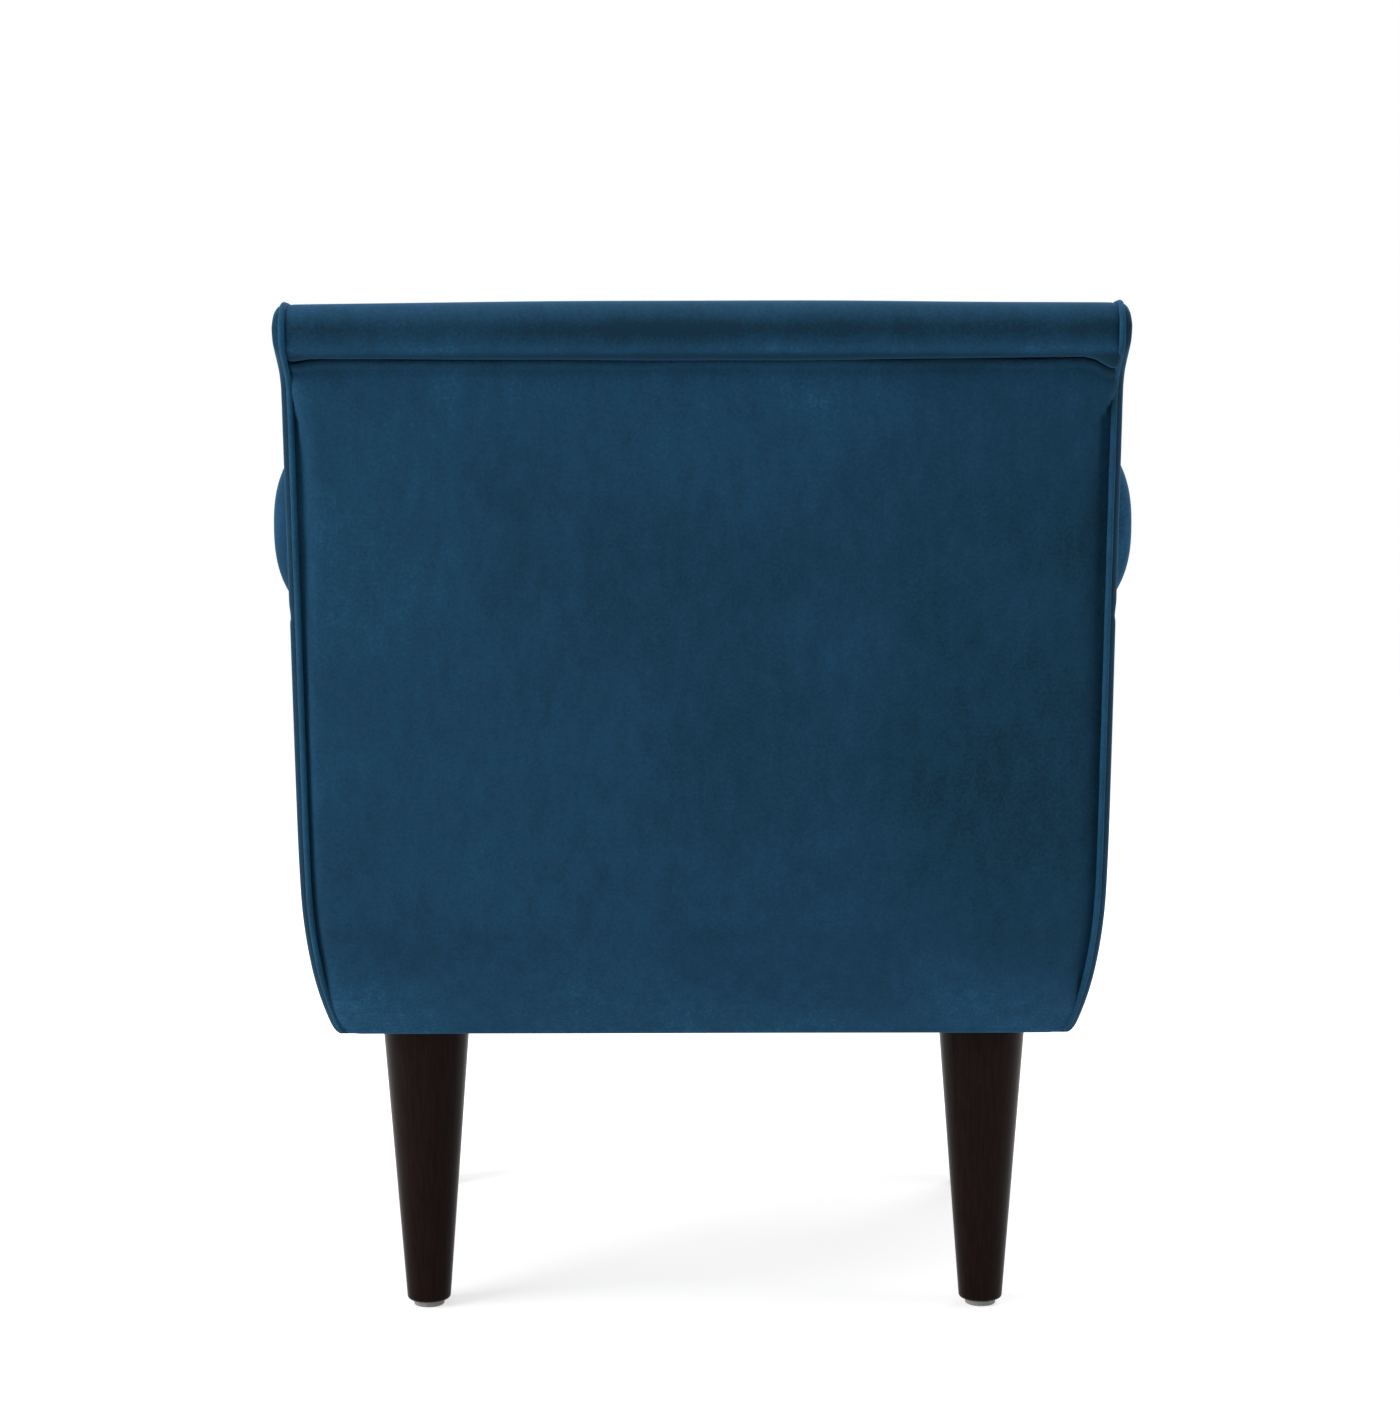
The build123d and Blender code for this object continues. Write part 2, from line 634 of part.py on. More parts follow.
def back_foam():
    """Foam over the inside back, rolled over the heads of the posts into the scroll's lip."""
    webbing = WEBBING_T + LAYER_GAP
    head_y = REAR_Y - COVER - SCROLL_PAD + LAYER_GAP
    head_z = TOP_Z - COVER - SCROLL_PAD + LAYER_GAP
    frame_room = polygon(
        (post_front_y(FRAME_Z) - webbing, FRAME_Z),
        (post_front_y(head_z) - webbing, head_z),
        (head_y, head_z),
        (head_y, LIP_Z + UNDER_COVER),
        (FAR, LIP_Z + UNDER_COVER),
        (FAR, FRAME_Z),
    )
    shape = offset(BACK, -UNDER_COVER) - frame_room - window(-FAR, FAR, 0, DECK_Z + LAYER_GAP)
    foam = between_sides(along_x(shape, -FRAME_X, FRAME_X), SIDE_LAYERS)
    return arm_rails_cut(foam)


def back_side_wadding():
    shape = offset(BACK, -UNDER_COVER) & window(-FAR, FAR, SIDE_TOP + LAYER_GAP, FAR)
    return along_x(shape, FRAME_X + LAYER_GAP, HALF_BACK - FACING - LAYER_GAP)


def arm_foam():
    rail_room = window(POST_X - UNDER_COVER, FRAME_X + LAYER_GAP, 0, ARM_RAIL_TOP + LAYER_GAP)
    shape = offset(ARM, -UNDER_COVER) - rail_room
    foam = along_y(shape, BOARD_REAR_Y + LAYER_GAP, ARM_END - UNDER_COVER)
    return foam - BEHIND_BACK


def inside_arm_board():
    outer = POST_X - LAYER_GAP
    low = DECK_Z + LOWER_RAIL_RISE
    board = block(outer - BOARD, outer, BOARD_REAR_Y + LAYER_GAP, FAR, low, ARM_RAIL_TOP)
    return board - BEHIND_BACK


def outside_back_board():
    strip = band(BACK, UNDER_COVER, UNDER_COVER + BOARD) & REAR_HALF
    strip -= window(-FAR, FAR, LIP_Z - NECK_ROUND, FAR)
    return between_sides(along_x(strip, -HALF_BACK, HALF_BACK), HALF_BACK - COVER_HALF)


def side_face():
    """Side view of an outside arm: from the arm front to the swept rear edge, under the roll."""
    under_roll = window(-FAR, FAR, FRAME_Z, SIDE_TOP)
    ahead = polygon(
        (ARM_START, FRAME_Z),
        (middle_y(FRAME_Z), FRAME_Z),
        (middle_y(SIDE_TOP), SIDE_TOP),
        (ARM_START, SIDE_TOP),
    )
    return (BACK & under_roll) + ahead


def outside_arm_board():
    shape = offset(side_face(), -UNDER_COVER)
    plate = along_x(shape, 0, HALF_BACK) & along_y(side_strip(UNDER_FACING, BOARD), -FAR, FAR)
    return plate - arm_front_room()


def arm_front_room():
    return block(0, HALF_ARM, -FAR, BOARD_REAR_Y + LAYER_GAP, 0, FAR)


def arm_front_pad():
    outline = offset(ARM_FRONT, -UNDER_COVER)
    return along_y(outline, FRONT_Y + UNDER_COVER, BOARD_FRONT_Y - LAYER_GAP)


# Covers
def side_strip(inset, thickness):
    """Front view of a left-hand side layer, between two insets from the chair's side."""
    left = window(0, FAR, 0, FAR)
    return (side_outline(inset) - side_outline(inset + thickness)) & left


def back_piping_path():
    """From the foot of the outside back, over the scroll and down to the top of the arm."""
    corners = [(PIPING_X, y, z) for y, z in back_corners()]
    corners[0] = (PIPING_X - SIDE_TUCK, FOOT_Y, FRAME_Z)
    arm_z = ARM_TOP + PIPING_D
    corners[-1] = (PIPING_X, inside_y(arm_z), arm_z)
    heel = sweep_radius(*corners[:3], HEEL_RUN)
    return FilletPolyline(*corners, radius=[heel, NECK_ROUND, LIP_ROUND, LIP_ROUND, SCROLL_ROUND])


def back_piping(room=0.0):
    cord = tube(back_piping_path(), PIPING_D + 2 * room)
    return cord & block(0, HALF_BACK, -FAR, FAR, FRAME_Z, FAR)


def arm_piping():
    """Round the arm front, open along the bottom edge."""
    face = along_y(ARM_FRONT, FRONT_PIPING_Y, FRONT_PIPING_Y + PIPING_R).faces().sort_by(Axis.Y)[0]
    above_bottom = [edge for edge in face.outer_wire().edges() if edge.center().Z > FRAME_Z + PIPING_D]
    path = Wire.combine(above_bottom)[0]
    cord = tube(path, PIPING_D)
    return cord & block(0, FAR, -FAR, FAR, FRAME_Z, FAR)


def inside_back_cover():
    """Velvet from the crevice up the inside back, over the scroll to the seam under its lip."""
    strip = band(BACK, 0, COVER) - REAR_HALF - window(-FAR, FAR, 0, DECK_Z + LAYER_GAP)
    sheet = between_sides(along_x(strip, -COVER_HALF, COVER_HALF), HALF_BACK - COVER_HALF)
    return arm_rails_cut(sheet)


def outside_back_cover():
    strip = band(BACK, 0, COVER) & REAR_HALF
    strip -= polygon(
        (NECK_Y + LIP_SEAM - LAYER_GAP, LIP_Z - COVER),
        (FAR, LIP_Z - COVER),
        (FAR, TOP_Z),
        (NECK_Y + LIP_SEAM - LAYER_GAP, TOP_Z),
    )
    panel = along_x(strip, -HALF_BACK, HALF_BACK)
    return between_sides(panel, HALF_BACK - COVER_HALF + PANEL_EASE)


def back_facing():
    shape = BACK & window(-FAR, FAR, SIDE_TOP + LAYER_GAP, FAR)
    plate = along_x(shape, SIDE_SEAM_X, HALF_BACK)
    rim = plate.faces().sort_by(Axis.X)[-1].edges()
    soft = [edge for edge in rim if edge.center().Z > SIDE_TOP + COVER]
    return fillet(soft, FACING - LAYER_GAP)


def outside_arm_cover():
    panel = along_x(side_face(), 0, HALF_BACK)
    return (panel & along_y(side_strip(0, FACING), -FAR, FAR)) - back_piping(PIPING_GAP)


@cache
def arm_cover():
    """Velvet up the inside arm, over the roll and back under it, with a cap on its rear end."""
    strip = band(ARM, 0, COVER)
    strip -= window(HALF_SEAT + COVER, SIDE_SEAM_X, 0, ARM_RAIL_TOP)
    sleeve = along_y(strip, ARM_START, ARM_END)
    cap = ARM & window(SIDE_SEAM_X, FAR, 0, FAR)
    return sleeve + along_y(cap, ARM_END - COVER, ARM_END) - BEHIND_BACK


def arm_facing():
    plate = along_y(ARM_FRONT, FRONT_Y, FRONT_Y + COVER)
    rim = plate.faces().sort_by(Axis.Y)[0].edges()
    return fillet([edge for edge in rim if edge.center().Z > FRAME_Z + COVER], COVER - LAYER_GAP)


def front_band():
    half = HALF_SEAT - PIPING_R - PIPING_GAP
    return block(-half, half, FRONT_Y, BOARD_FRONT_Y - LAYER_GAP, FRAME_Z, DECK_Z)


# Loose seat cushion
CUSHION_FRONT = PIPING_R - OVERALL_DEPTH / 2
CUSHION_HALF = HALF_SEAT - CUSHION_CLEAR - PIPING_R
LOWER_PIPING_Z = DECK_Z + CUSHION_LIFT
UPPER_PIPING_Z = DECK_Z + CUSHION_HEIGHT
ZIP_Z = (LOWER_PIPING_Z + UPPER_PIPING_Z) / 2


def cushion_rear(z):
    return inside_y(z) - CUSHION_BACK_CLEAR - PIPING_R


def cushion_section(z, inset):
    """Plan of the cushion at height z: the sides and the front drawn in, the rear straight."""
    half = CUSHION_HALF - inset
    front = CUSHION_FRONT + inset
    rear = cushion_rear(z) - inset
    middle = (front + rear) / 2
    edges = [
        ThreePointArc((-half, front), (0, front + CUSHION_DRAW), (half, front)),
        ThreePointArc((half, front), (half - CUSHION_DRAW, middle), (half, rear)),
        Line((half, rear), (-half, rear)),
        ThreePointArc((-half, rear), (CUSHION_DRAW - half, middle), (-half, front)),
    ]
    plan = make_face(edges)
    return Pos(0, 0, z) * fillet(plan.vertices(), CUSHION_CORNER)


def cushion_walls(z_low, z_high, inset):
    return loft([cushion_section(z_low, inset), cushion_section(z_high, inset)])


def cushion_crown(inset):
    """The crowned top, from the upper piping's level, drawn in and lowered by the inset."""
    return loft([cushion_section(UPPER_PIPING_Z + rise - inset, step + inset) for step, rise in CROWN_STEPS])


def zip_plane():
    """On the rear boxing, facing out of the cushion, with its y axis down the slope."""
    rake = radians(INSIDE_RAKE)
    origin = (0, cushion_rear(ZIP_Z), ZIP_Z)
    return Plane(origin, x_dir=(1, 0, 0), z_dir=(0, cos(rake), -sin(rake)))


def on_zip(length, width, low, high, x=0.0, y=0.0):
    """A bar on the rear boxing between two heights above its surface."""
    face = zip_plane().offset(low) * (Pos(x, y) * Rectangle(length, width))
    return extrude(face, amount=high - low)


TAPE_TOP = -COVER - ZIP_GAP
TAPE_LOW = TAPE_TOP - ZIP_TAPE_T
SLIDER_TOP = TAPE_TOP + ZIP_COIL_H + ZIP_GAP + ZIP_SLIDER_WALL
ZIP_LENGTH = 2 * (HALF_SEAT - ZIP_INSET)
SLIDER_X = ZIP_SLIDER_LENGTH / 2 + ZIP_END - ZIP_LENGTH / 2


CORE_INSET = PIPING_R + PIPING_GAP + COVER + LAYER_GAP


def cushion_core():
    """The foam block, flat on top."""
    return cushion_walls(DECK_Z + UNDER_COVER, UPPER_PIPING_Z - CORE_INSET - LAYER_GAP, CORE_INSET)


def cushion_fibre():
    """The fibre fill that crowns the foam block."""
    return cushion_crown(CORE_INSET)


def cushion_top():
    rim = PIPING_R + PIPING_GAP
    return cushion_crown(rim) - cushion_crown(rim + COVER)


def cushion_bottom():
    plan = cushion_section(DECK_Z, PIPING_R + PIPING_GAP)
    return extrude(plan, amount=COVER)


def cushion_boxing():
    low = LOWER_PIPING_Z + PIPING_R + PIPING_GAP
    high = UPPER_PIPING_Z - PIPING_R - PIPING_GAP
    wall = cushion_walls(low, high, 0) - cushion_walls(low, high, COVER)
    return wall - on_zip(ZIP_LENGTH, ZIP_SLOT, -FACING, FACING)


def cushion_piping():
    rings = []
    for z in (LOWER_PIPING_Z, UPPER_PIPING_Z):
        rings.append(tube(cushion_section(z, 0).face().outer_wire(), PIPING_D))
    return rings


def zip_tape():
    tape = on_zip(ZIP_LENGTH + ZIP_TAPE_WIDTH - ZIP_GAP, ZIP_TAPE_WIDTH, TAPE_LOW, TAPE_TOP)
    return tape + on_zip(ZIP_LENGTH, ZIP_COIL_WIDTH, TAPE_TOP, TAPE_TOP + ZIP_COIL_H)


def zip_slider():
    """A slider closed over the coil, with its pull hanging down the boxing."""
    channel_top = TAPE_TOP + ZIP_COIL_H + ZIP_GAP
    body = on_zip(ZIP_SLIDER_LENGTH, ZIP_SLIDER_WIDTH, TAPE_TOP + ZIP_GAP, SLIDER_TOP, SLIDER_X)
    body -= on_zip(2 * ZIP_SLIDER_LENGTH, ZIP_COIL_WIDTH + 2 * ZIP_GAP, TAPE_TOP, channel_top, SLIDER_X)
    pull_y = ZIP_PULL_LENGTH / 2
    return body + on_zip(ZIP_PULL_WIDTH, ZIP_PULL_LENGTH, SLIDER_TOP, SLIDER_TOP + ZIP_PULL_T, SLIDER_X, pull_y)


def save_legs():
    one_leg = leg()
    for name, (x, y) in LEGS.items():
        save(f"leg_{name}", Pos(x, y, 0) * one_leg)
    save("leg_glides", *at_legs(glide()))
    save("hanger_bolts", *at_legs(hanger_bolt()))
    save("tee_nuts", *at_legs(tee_nut()))
    save("dust_cover", dust_cover())


def save_frame():
    front, rear, side = seat_rails()
    save("front_rail", front)
    save("rear_rail", rear)
    save_pair("side_rail", side)
    blocks = [corner_block(*corner) for corner in (FRONT_CORNER, REAR_CORNER)]
    save("corner_blocks", *on_both_sides(blocks))
    save("block_screws", *on_both_sides([screw(*line) for line in SCREW_LINES]))
    save("rail_dowels", *on_both_sides([dowel(*place) for place in dowel_places()]))
    save_pair("back_post", back_post())
    save("back_top_rail", top_rail())
    save("back_cross_rails", cross_rail(LOWER_RAIL_RISE), cross_rail(LUMBAR_RAIL_RISE))
    save("back_webbing", *back_webbing())
    save_pair("arm_front_board", arm_front_board())
    save("arm_top_rails", *on_both_sides([arm_top_rail()]))
    save("arm_tack_rails", *on_both_sides([arm_tack_rail()]))


def save_suspension():
    save("seat_springs", *spring_rows(seat_spring()))
    front_clip = spring_clip(SPRING_START, -1)
    rear_clip = spring_clip(SPRING_END, 1)
    save("spring_clips", *spring_rows(front_clip), *spring_rows(rear_clip))
    save("deck_pad", deck(DECK_UNDER, DECK_UNDER + DECK_PAD))
    save("deck_cloth", deck(DECK_UNDER + DECK_PAD, DECK_Z))


def save_padding():
    save("back_foam", back_foam())
    save("back_side_wadding", *on_both_sides([back_side_wadding()]))
    save_pair("arm_foam", arm_foam())
    save("arm_front_pads", *on_both_sides([arm_front_pad()]))
    save("inside_arm_boards", *on_both_sides([inside_arm_board()]))
    save("outside_back_board", outside_back_board())
    save_pair("outside_arm_board", outside_arm_board())


def save_covers():
    save("inside_back_cover", inside_back_cover())
    save("outside_back_cover", outside_back_cover())
    save_pair("back_facing", back_facing())
    save_pair("outside_arm_cover", outside_arm_cover())
    save_pair("arm_cover", arm_cover())
    save_pair("arm_facing", arm_facing())
    save("front_band", front_band())
    save_pair("back_piping", back_piping())
    save_pair("arm_piping", arm_piping())


def save_cushion():
    save("cushion_core", cushion_core())
    save("cushion_fibre", cushion_fibre())
    save("cushion_top", cushion_top())
    save("cushion_bottom", cushion_bottom())
    save("cushion_boxing", cushion_boxing())
    save("cushion_piping", *cushion_piping())
    save("zip_tape", zip_tape())
    save("zip_slider", zip_slider())


os.makedirs("parts", exist_ok=True)
save_legs()
save_frame()
save_suspension()
save_padding()
save_covers()
save_cushion()
spring_gap = SPRING_PITCH - SPRING_WIRE_D
print(f"least gap between the bars of a seat spring: {spring_gap:.1f} mm")
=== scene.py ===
import json
import math

import bmesh
import bpy
import numpy as np
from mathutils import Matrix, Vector


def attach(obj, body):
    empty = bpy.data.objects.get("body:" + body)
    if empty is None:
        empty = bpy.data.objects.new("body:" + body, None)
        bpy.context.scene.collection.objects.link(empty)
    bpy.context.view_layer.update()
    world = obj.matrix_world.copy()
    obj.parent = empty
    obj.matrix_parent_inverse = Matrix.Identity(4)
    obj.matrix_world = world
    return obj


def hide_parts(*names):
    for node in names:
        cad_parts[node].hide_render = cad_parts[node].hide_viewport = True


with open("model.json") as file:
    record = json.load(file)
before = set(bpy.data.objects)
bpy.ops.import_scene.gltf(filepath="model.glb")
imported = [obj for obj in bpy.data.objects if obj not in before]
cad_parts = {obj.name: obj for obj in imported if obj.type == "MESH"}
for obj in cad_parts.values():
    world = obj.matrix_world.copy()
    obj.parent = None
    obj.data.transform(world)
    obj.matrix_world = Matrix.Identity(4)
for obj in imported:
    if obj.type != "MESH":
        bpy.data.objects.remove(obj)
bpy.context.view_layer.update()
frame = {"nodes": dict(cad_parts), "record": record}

# Sizes in millimetres, the same as the part's own. The chair faces -Y.
MM = 0.001
TOP_Z = 799.7
REAR_Y = 365.7
FRONT_Y = -344.0
FRAME_Z = 235.0
DECK_Z = 344.7
HALF_BACK = 310.0
HALF_ARM = 331.0
HALF_SEAT = 243.0
FACING = 5.0
COVER = 3.0
PIPING_R = 2.3
PIPING_X = 302.5
LIP_Z = TOP_Z - 38.0
NECK_Y = REAR_Y - 35.0
LIP_ROUND = 18.0
LIP_SEAM = 12.0
SCROLL_Y = REAR_Y - 89.0
SCROLL_ROUND = 78.0
INSIDE_RAKE = math.radians(18.2)
OUTSIDE_RAKE = math.radians(9.2)
HEEL_HEIGHT = 84.0
HEEL_LEAN = math.radians(37.8)
HEEL_Z = FRAME_Z + HEEL_HEIGHT
HEEL_Y = NECK_Y - (LIP_Z - HEEL_Z) * math.tan(OUTSIDE_RAKE)
FOOT_Y = HEEL_Y - HEEL_HEIGHT * math.tan(HEEL_LEAN)
SIDE_TUCK = 16.0
FOOT_ROUND = 8.0
SWEEP_SHARE = 0.9
ROLL_Z = 637.0
ROLL_ROUND = 62.0
ROLL_HALF = 76.0
ROLL_TOP = ROLL_Z + ROLL_HALF
ROLL_POWER = 2.4
ROLL_INNER_ROUND = 25.0
ARM_END = REAR_Y - 113.0
ARM_START = FRONT_Y + COVER + 2 * PIPING_R + 0.4
FRONT_PIPING_Y = FRONT_Y + COVER + PIPING_R + 0.2
SIDE_SEAM_X = HALF_BACK - FACING
CUSHION_HALF = HALF_SEAT - 2.5 - PIPING_R
CUSHION_FRONT = PIPING_R - 368.0
LOWER_SEAM_Z = DECK_Z + 3.0
UPPER_SEAM_Z = DECK_Z + 100.0
BOXING_TOP = UPPER_SEAM_Z - 1.0
ZIP_Z = (LOWER_SEAM_Z + UPPER_SEAM_Z) / 2
CUSHION_CORNER = 28.0
CUSHION_GAP = 4.0
ZIP_LENGTH = 380.0
ZIP_DEPTH = 4.4

# Soft forms that only the covers have, in millimetres but for the dome's power
COVER_WALL = 2.0
EDGE_ROUND = 10.0
EDGE_PUFF = 2.0
SIDE_BENDS = [330.0, 550.0]
EAR_DROP = 18.0
EAR_RISE = 6.0
EAR_ROUNDS = [26.0, 15.0]
ARM_LAP = 14.0
DOME_DEPTH = 28.0
DOME_POWER = 2.2
GROOVE_FLOOR = 4.4
CUSHION_DRAW = 4.0
CUSHION_INSET = 1.2
CUSHION_CORD_INSET = 1.7
CUSHION_SWELL = 9.0

# How finely the meshes are drawn: lengths in millimetres, then counts
COVER_STEP = 8.0
WELD = 0.02
ARC_POINTS = 32
PAD_STEPS = 26
CORD_SIDES = 15
RING_POINTS = 700


# Lines and grids
def run_length(line):
    """Length along a line of points, from 0 at its start."""
    return np.concatenate([[0], np.cumsum(np.linalg.norm(np.diff(line, axis=0), axis=1))])


def shared_out(line, count):
    """A set number of points, spaced evenly by length along a line of points."""
    length = run_length(line)
    places = np.linspace(0, length[-1], count)
    return np.column_stack([np.interp(places, length, column) for column in line.T])


def evenly(line, step):
    """Points about one step apart along a line of points."""
    return shared_out(line, max(2, round(run_length(line)[-1] / step) + 1))


def rounded_line(points, radii, step=2.5):
    """Straight runs joined by tangent arcs: each arc starts r * tan(turn / 2) before its corner and is
    start + r * (sin a * way in + (1 - cos a) * way to the centre)."""
    points = np.asarray(points, float)
    runs = [points[:1]]
    for before, corner, after, radius in zip(points, points[1:], points[2:], radii):
        into = (corner - before) / np.linalg.norm(corner - before)
        out = (after - corner) / np.linalg.norm(after - corner)
        turn = math.acos(np.clip(into @ out, -1, 1))
        centre_way = out - into * (into @ out)
        centre_way /= np.linalg.norm(centre_way)
        start = corner - into * radius * math.tan(turn / 2)
        angle = np.linspace(0, turn, ARC_POINTS)[:, None]
        runs.append(start + radius * (np.sin(angle) * into + (1 - np.cos(angle)) * centre_way))
    runs.append(points[-1:])
    return evenly(np.vstack(runs), step)


def sweep_radius(before, corner, after, run):
    """Radius of the bend that takes a set length of the runs beside a corner."""
    into = np.subtract(corner, before) / np.linalg.norm(np.subtract(corner, before))
    out = np.subtract(after, corner) / np.linalg.norm(np.subtract(after, corner))
    return run / math.tan(math.acos(into @ out) / 2)


def edge_spaced(low, high, step, fine):
    """Places from low to high, close together within the fine distance of each end."""
    ends = fine * np.array([0, 0.05, 0.14, 0.27, 0.45, 0.7])
    middle = np.linspace(low + fine, high - fine, max(2, round((high - low - 2 * fine) / step) + 1))
    return np.concatenate([low + ends, middle, (high - ends)[::-1]])


def rim(distance, radius):
    """A round-over, from 0 at the edge to 1 at one radius in: a quarter circle."""
    share = np.clip(distance / radius, 0, 1)
    return np.sqrt(1 - (1 - share) ** 2)


def ease(value, low, high):
    """0 below low, 1 above high, smooth between: 3t^2 - 2t^3."""
    share = np.clip((value - low) / (high - low), 0, 1)
    return share * share * (3 - 2 * share)


def hand_pull(a, b, wave, seed):
    """The slow unevenness of cloth pulled on by hand, about -1 to 1: four crossed sine waves of one
    length."""
    draw = np.random.default_rng(seed)
    waves = 4
    total = 0.0
    for turn, phase in zip(draw.uniform(0, np.pi, waves), draw.uniform(0, 2 * np.pi, waves)):
        total = total + np.sin(2 * np.pi * (a * math.cos(turn) + b * math.sin(turn)) / wave + phase)
    return total / 3


def way_out(line):
    """Unit normals to the left of a flat line's direction: (-t2, t1)."""
    along = np.gradient(line, axis=0)
    along /= np.linalg.norm(along, axis=1, keepdims=True)
    return np.column_stack([-along[:, 1], along[:, 0]])


# Outlines that several pieces share
def inside_y(z):
    """Front face of the inside back at height z."""
    return SCROLL_Y - (TOP_Z - z) * math.tan(INSIDE_RAKE)


def outside_line():
    """The outside back in side view (y, z), from the frame's underside up to the neck, without the lip."""
    corners = [(FOOT_Y, FRAME_Z), (HEEL_Y, HEEL_Z), (NECK_Y, LIP_Z)]
    bend = sweep_radius(*corners, SWEEP_SHARE * HEEL_HEIGHT / math.cos(HEEL_LEAN))
    return rounded_line(corners, [bend]), bend


def side_line():
    """The chair's left side in rear view (x, z): upright, and drawn in below the heel, most at the foot."""
    middle_tuck, middle_rise, upright_rise = 0.38, 0.42, 0.15
    corners = [
        (HALF_BACK - SIDE_TUCK, FRAME_Z),
        (HALF_BACK - middle_tuck * SIDE_TUCK, FRAME_Z + middle_rise * HEEL_HEIGHT),
        (HALF_BACK, HEEL_Z + upright_rise * HEEL_HEIGHT),
        (HALF_BACK, TOP_Z),
    ]
    return rounded_line(corners, SIDE_BENDS)


OUTSIDE, HEEL_BEND = outside_line()
SIDE = side_line()

# Each end of the lip comes down to the back in a slant, so that the side panel ends in an ear
EAR_SWEEP = [(NECK_Y - EAR_DROP * math.tan(OUTSIDE_RAKE), LIP_Z - EAR_DROP), (REAR_Y, LIP_Z + EAR_RISE)]


def outside_y(z):
    """Rear face of the outside back at height z."""
    return np.interp(z, OUTSIDE[:, 1], OUTSIDE[:, 0])


def side_x(z):
    """The chair's left side at height z."""
    return np.interp(z, SIDE[:, 1], SIDE[:, 0])


def foot_round(z):
    """How far the outside back's lower corners are rounded in at height z: a quarter circle,
    r - sqrt(r^2 - (r - d)^2) at a distance d above the foot."""
    return FOOT_ROUND * (1 - rim(z - FRAME_Z, FOOT_ROUND))


ROLL_AXIS_X = HALF_ARM - ROLL_ROUND
SEAM_SHARE = ((SIDE_SEAM_X - ROLL_AXIS_X) / ROLL_ROUND) ** ROLL_POWER
SIDE_TOP = ROLL_Z - ROLL_HALF * (1 - SEAM_SHARE) ** (1 / ROLL_POWER)


def roll_line(foot_z, stop_x):
    """A rolled arm in front view (x, z): up the inside arm and round its inner edge, then over and under the
    roll as far as stop_x, along half of a superellipse, (x / a)^p + |z / b|^p = 1."""
    corners = [(HALF_SEAT, foot_z), (HALF_SEAT, ROLL_TOP), (ROLL_AXIS_X, ROLL_TOP)]
    inner = rounded_line(corners, [ROLL_INNER_ROUND], 1.0)
    turn = np.linspace(np.pi / 2, -np.pi / 2, 400)
    wide = ROLL_ROUND * abs(np.cos(turn)) ** (2 / ROLL_POWER)
    high = ROLL_HALF * np.sign(np.sin(turn)) * abs(np.sin(turn)) ** (2 / ROLL_POWER)
    roll = evenly(np.column_stack([ROLL_AXIS_X + wide, ROLL_Z + high]), 1.0)
    return np.vstack([inner[:-1], roll[(roll[:, 1] > ROLL_Z) | (roll[:, 0] >= stop_x)]])


# Meshes
def mesh_piece(name, grid, inside, around=False):
    """A mesh whose points are a grid in millimetres, joined to their neighbours by quads that face away from
    the inside point. With around, the last row of the grid joins the first."""
    rows = np.arange(grid.shape[0] * grid.shape[1]).reshape(grid.shape[:2])
    if around:
        rows = np.vstack([rows, rows[:1]])
    quads = np.stack([rows[:-1, :-1], rows[1:, :-1], rows[1:, 1:], rows[:-1, 1:]], axis=-1).reshape(-1, 4)
    points = grid.reshape(-1, 3)
    corners = points[quads]
    normals = np.cross(corners[:, 2] - corners[:, 0], corners[:, 3] - corners[:, 1])
    outward = np.einsum("ij,ij->i", normals, corners.mean(axis=1) - np.asarray(inside, float)).sum()
    if outward < 0:
        quads = quads[:, ::-1]
    mesh = bpy.data.meshes.new(name)
    mesh.from_pydata((points * MM).tolist(), [], quads.tolist())
    welded = bmesh.new()
    welded.from_mesh(mesh)
    bmesh.ops.remove_doubles(welded, verts=welded.verts, dist=WELD * MM)
    welded.to_mesh(mesh)
    welded.free()
    mesh.shade_smooth()
    made = bpy.data.objects.new(name, mesh)
    bpy.context.scene.collection.objects.link(made)
    return made


def cloth_wall(made, thickness=COVER_WALL):
    """Gives a cover its thickness, inwards from the outer face."""
    wall = made.modifiers.new("cloth thickness", "SOLIDIFY")
    wall.thickness = thickness * MM
    wall.offset = -1
    wall.use_even_offset = False
    return made


def fit(made, material, nodes, body="chair"):
    """Dresses a piece: its finish, the body that it moves with and the CAD nodes that it stands for."""
    made.data.materials.append(material)
    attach(made, body)
    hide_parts(*nodes)
    return made


def left_and_right(name, grid, inside, **options):
    """A left-hand piece and its mirror image."""
    flip = np.array([-1.0, 1.0, 1.0])
    left = mesh_piece(f"{name}_left", grid, inside, **options)
    right = mesh_piece(f"{name}_right", grid * flip, np.asarray(inside) * flip, **options)
    return {"left": left, "right": right}


def cord_grid(path, square_to, closed=False):
    """A piping cord: circles round a path, c + r (cos a * n + sin a * b), where n is kept near one direction.
    An open cord swells and thins a little along its length."""
    if closed:
        along = np.roll(path, -1, axis=0) - np.roll(path, 1, axis=0)
    else:
        along = np.gradient(path, axis=0)
    along /= np.linalg.norm(along, axis=1, keepdims=True)
    first = np.asarray(square_to, float) - along * (along @ np.asarray(square_to, float))[:, None]
    first /= np.linalg.norm(first, axis=1, keepdims=True)
    second = np.cross(along, first)
    angle = np.linspace(0, 2 * np.pi, CORD_SIDES)[None, :, None]
    swell, wave = (0.0 if closed else 0.03), 9.0
    thick = PIPING_R * (1 + swell * np.sin(run_length(path) / wave))[:, None, None]
    return path[:, None] + thick * (np.cos(angle) * first[:, None] + np.sin(angle) * second[:, None])


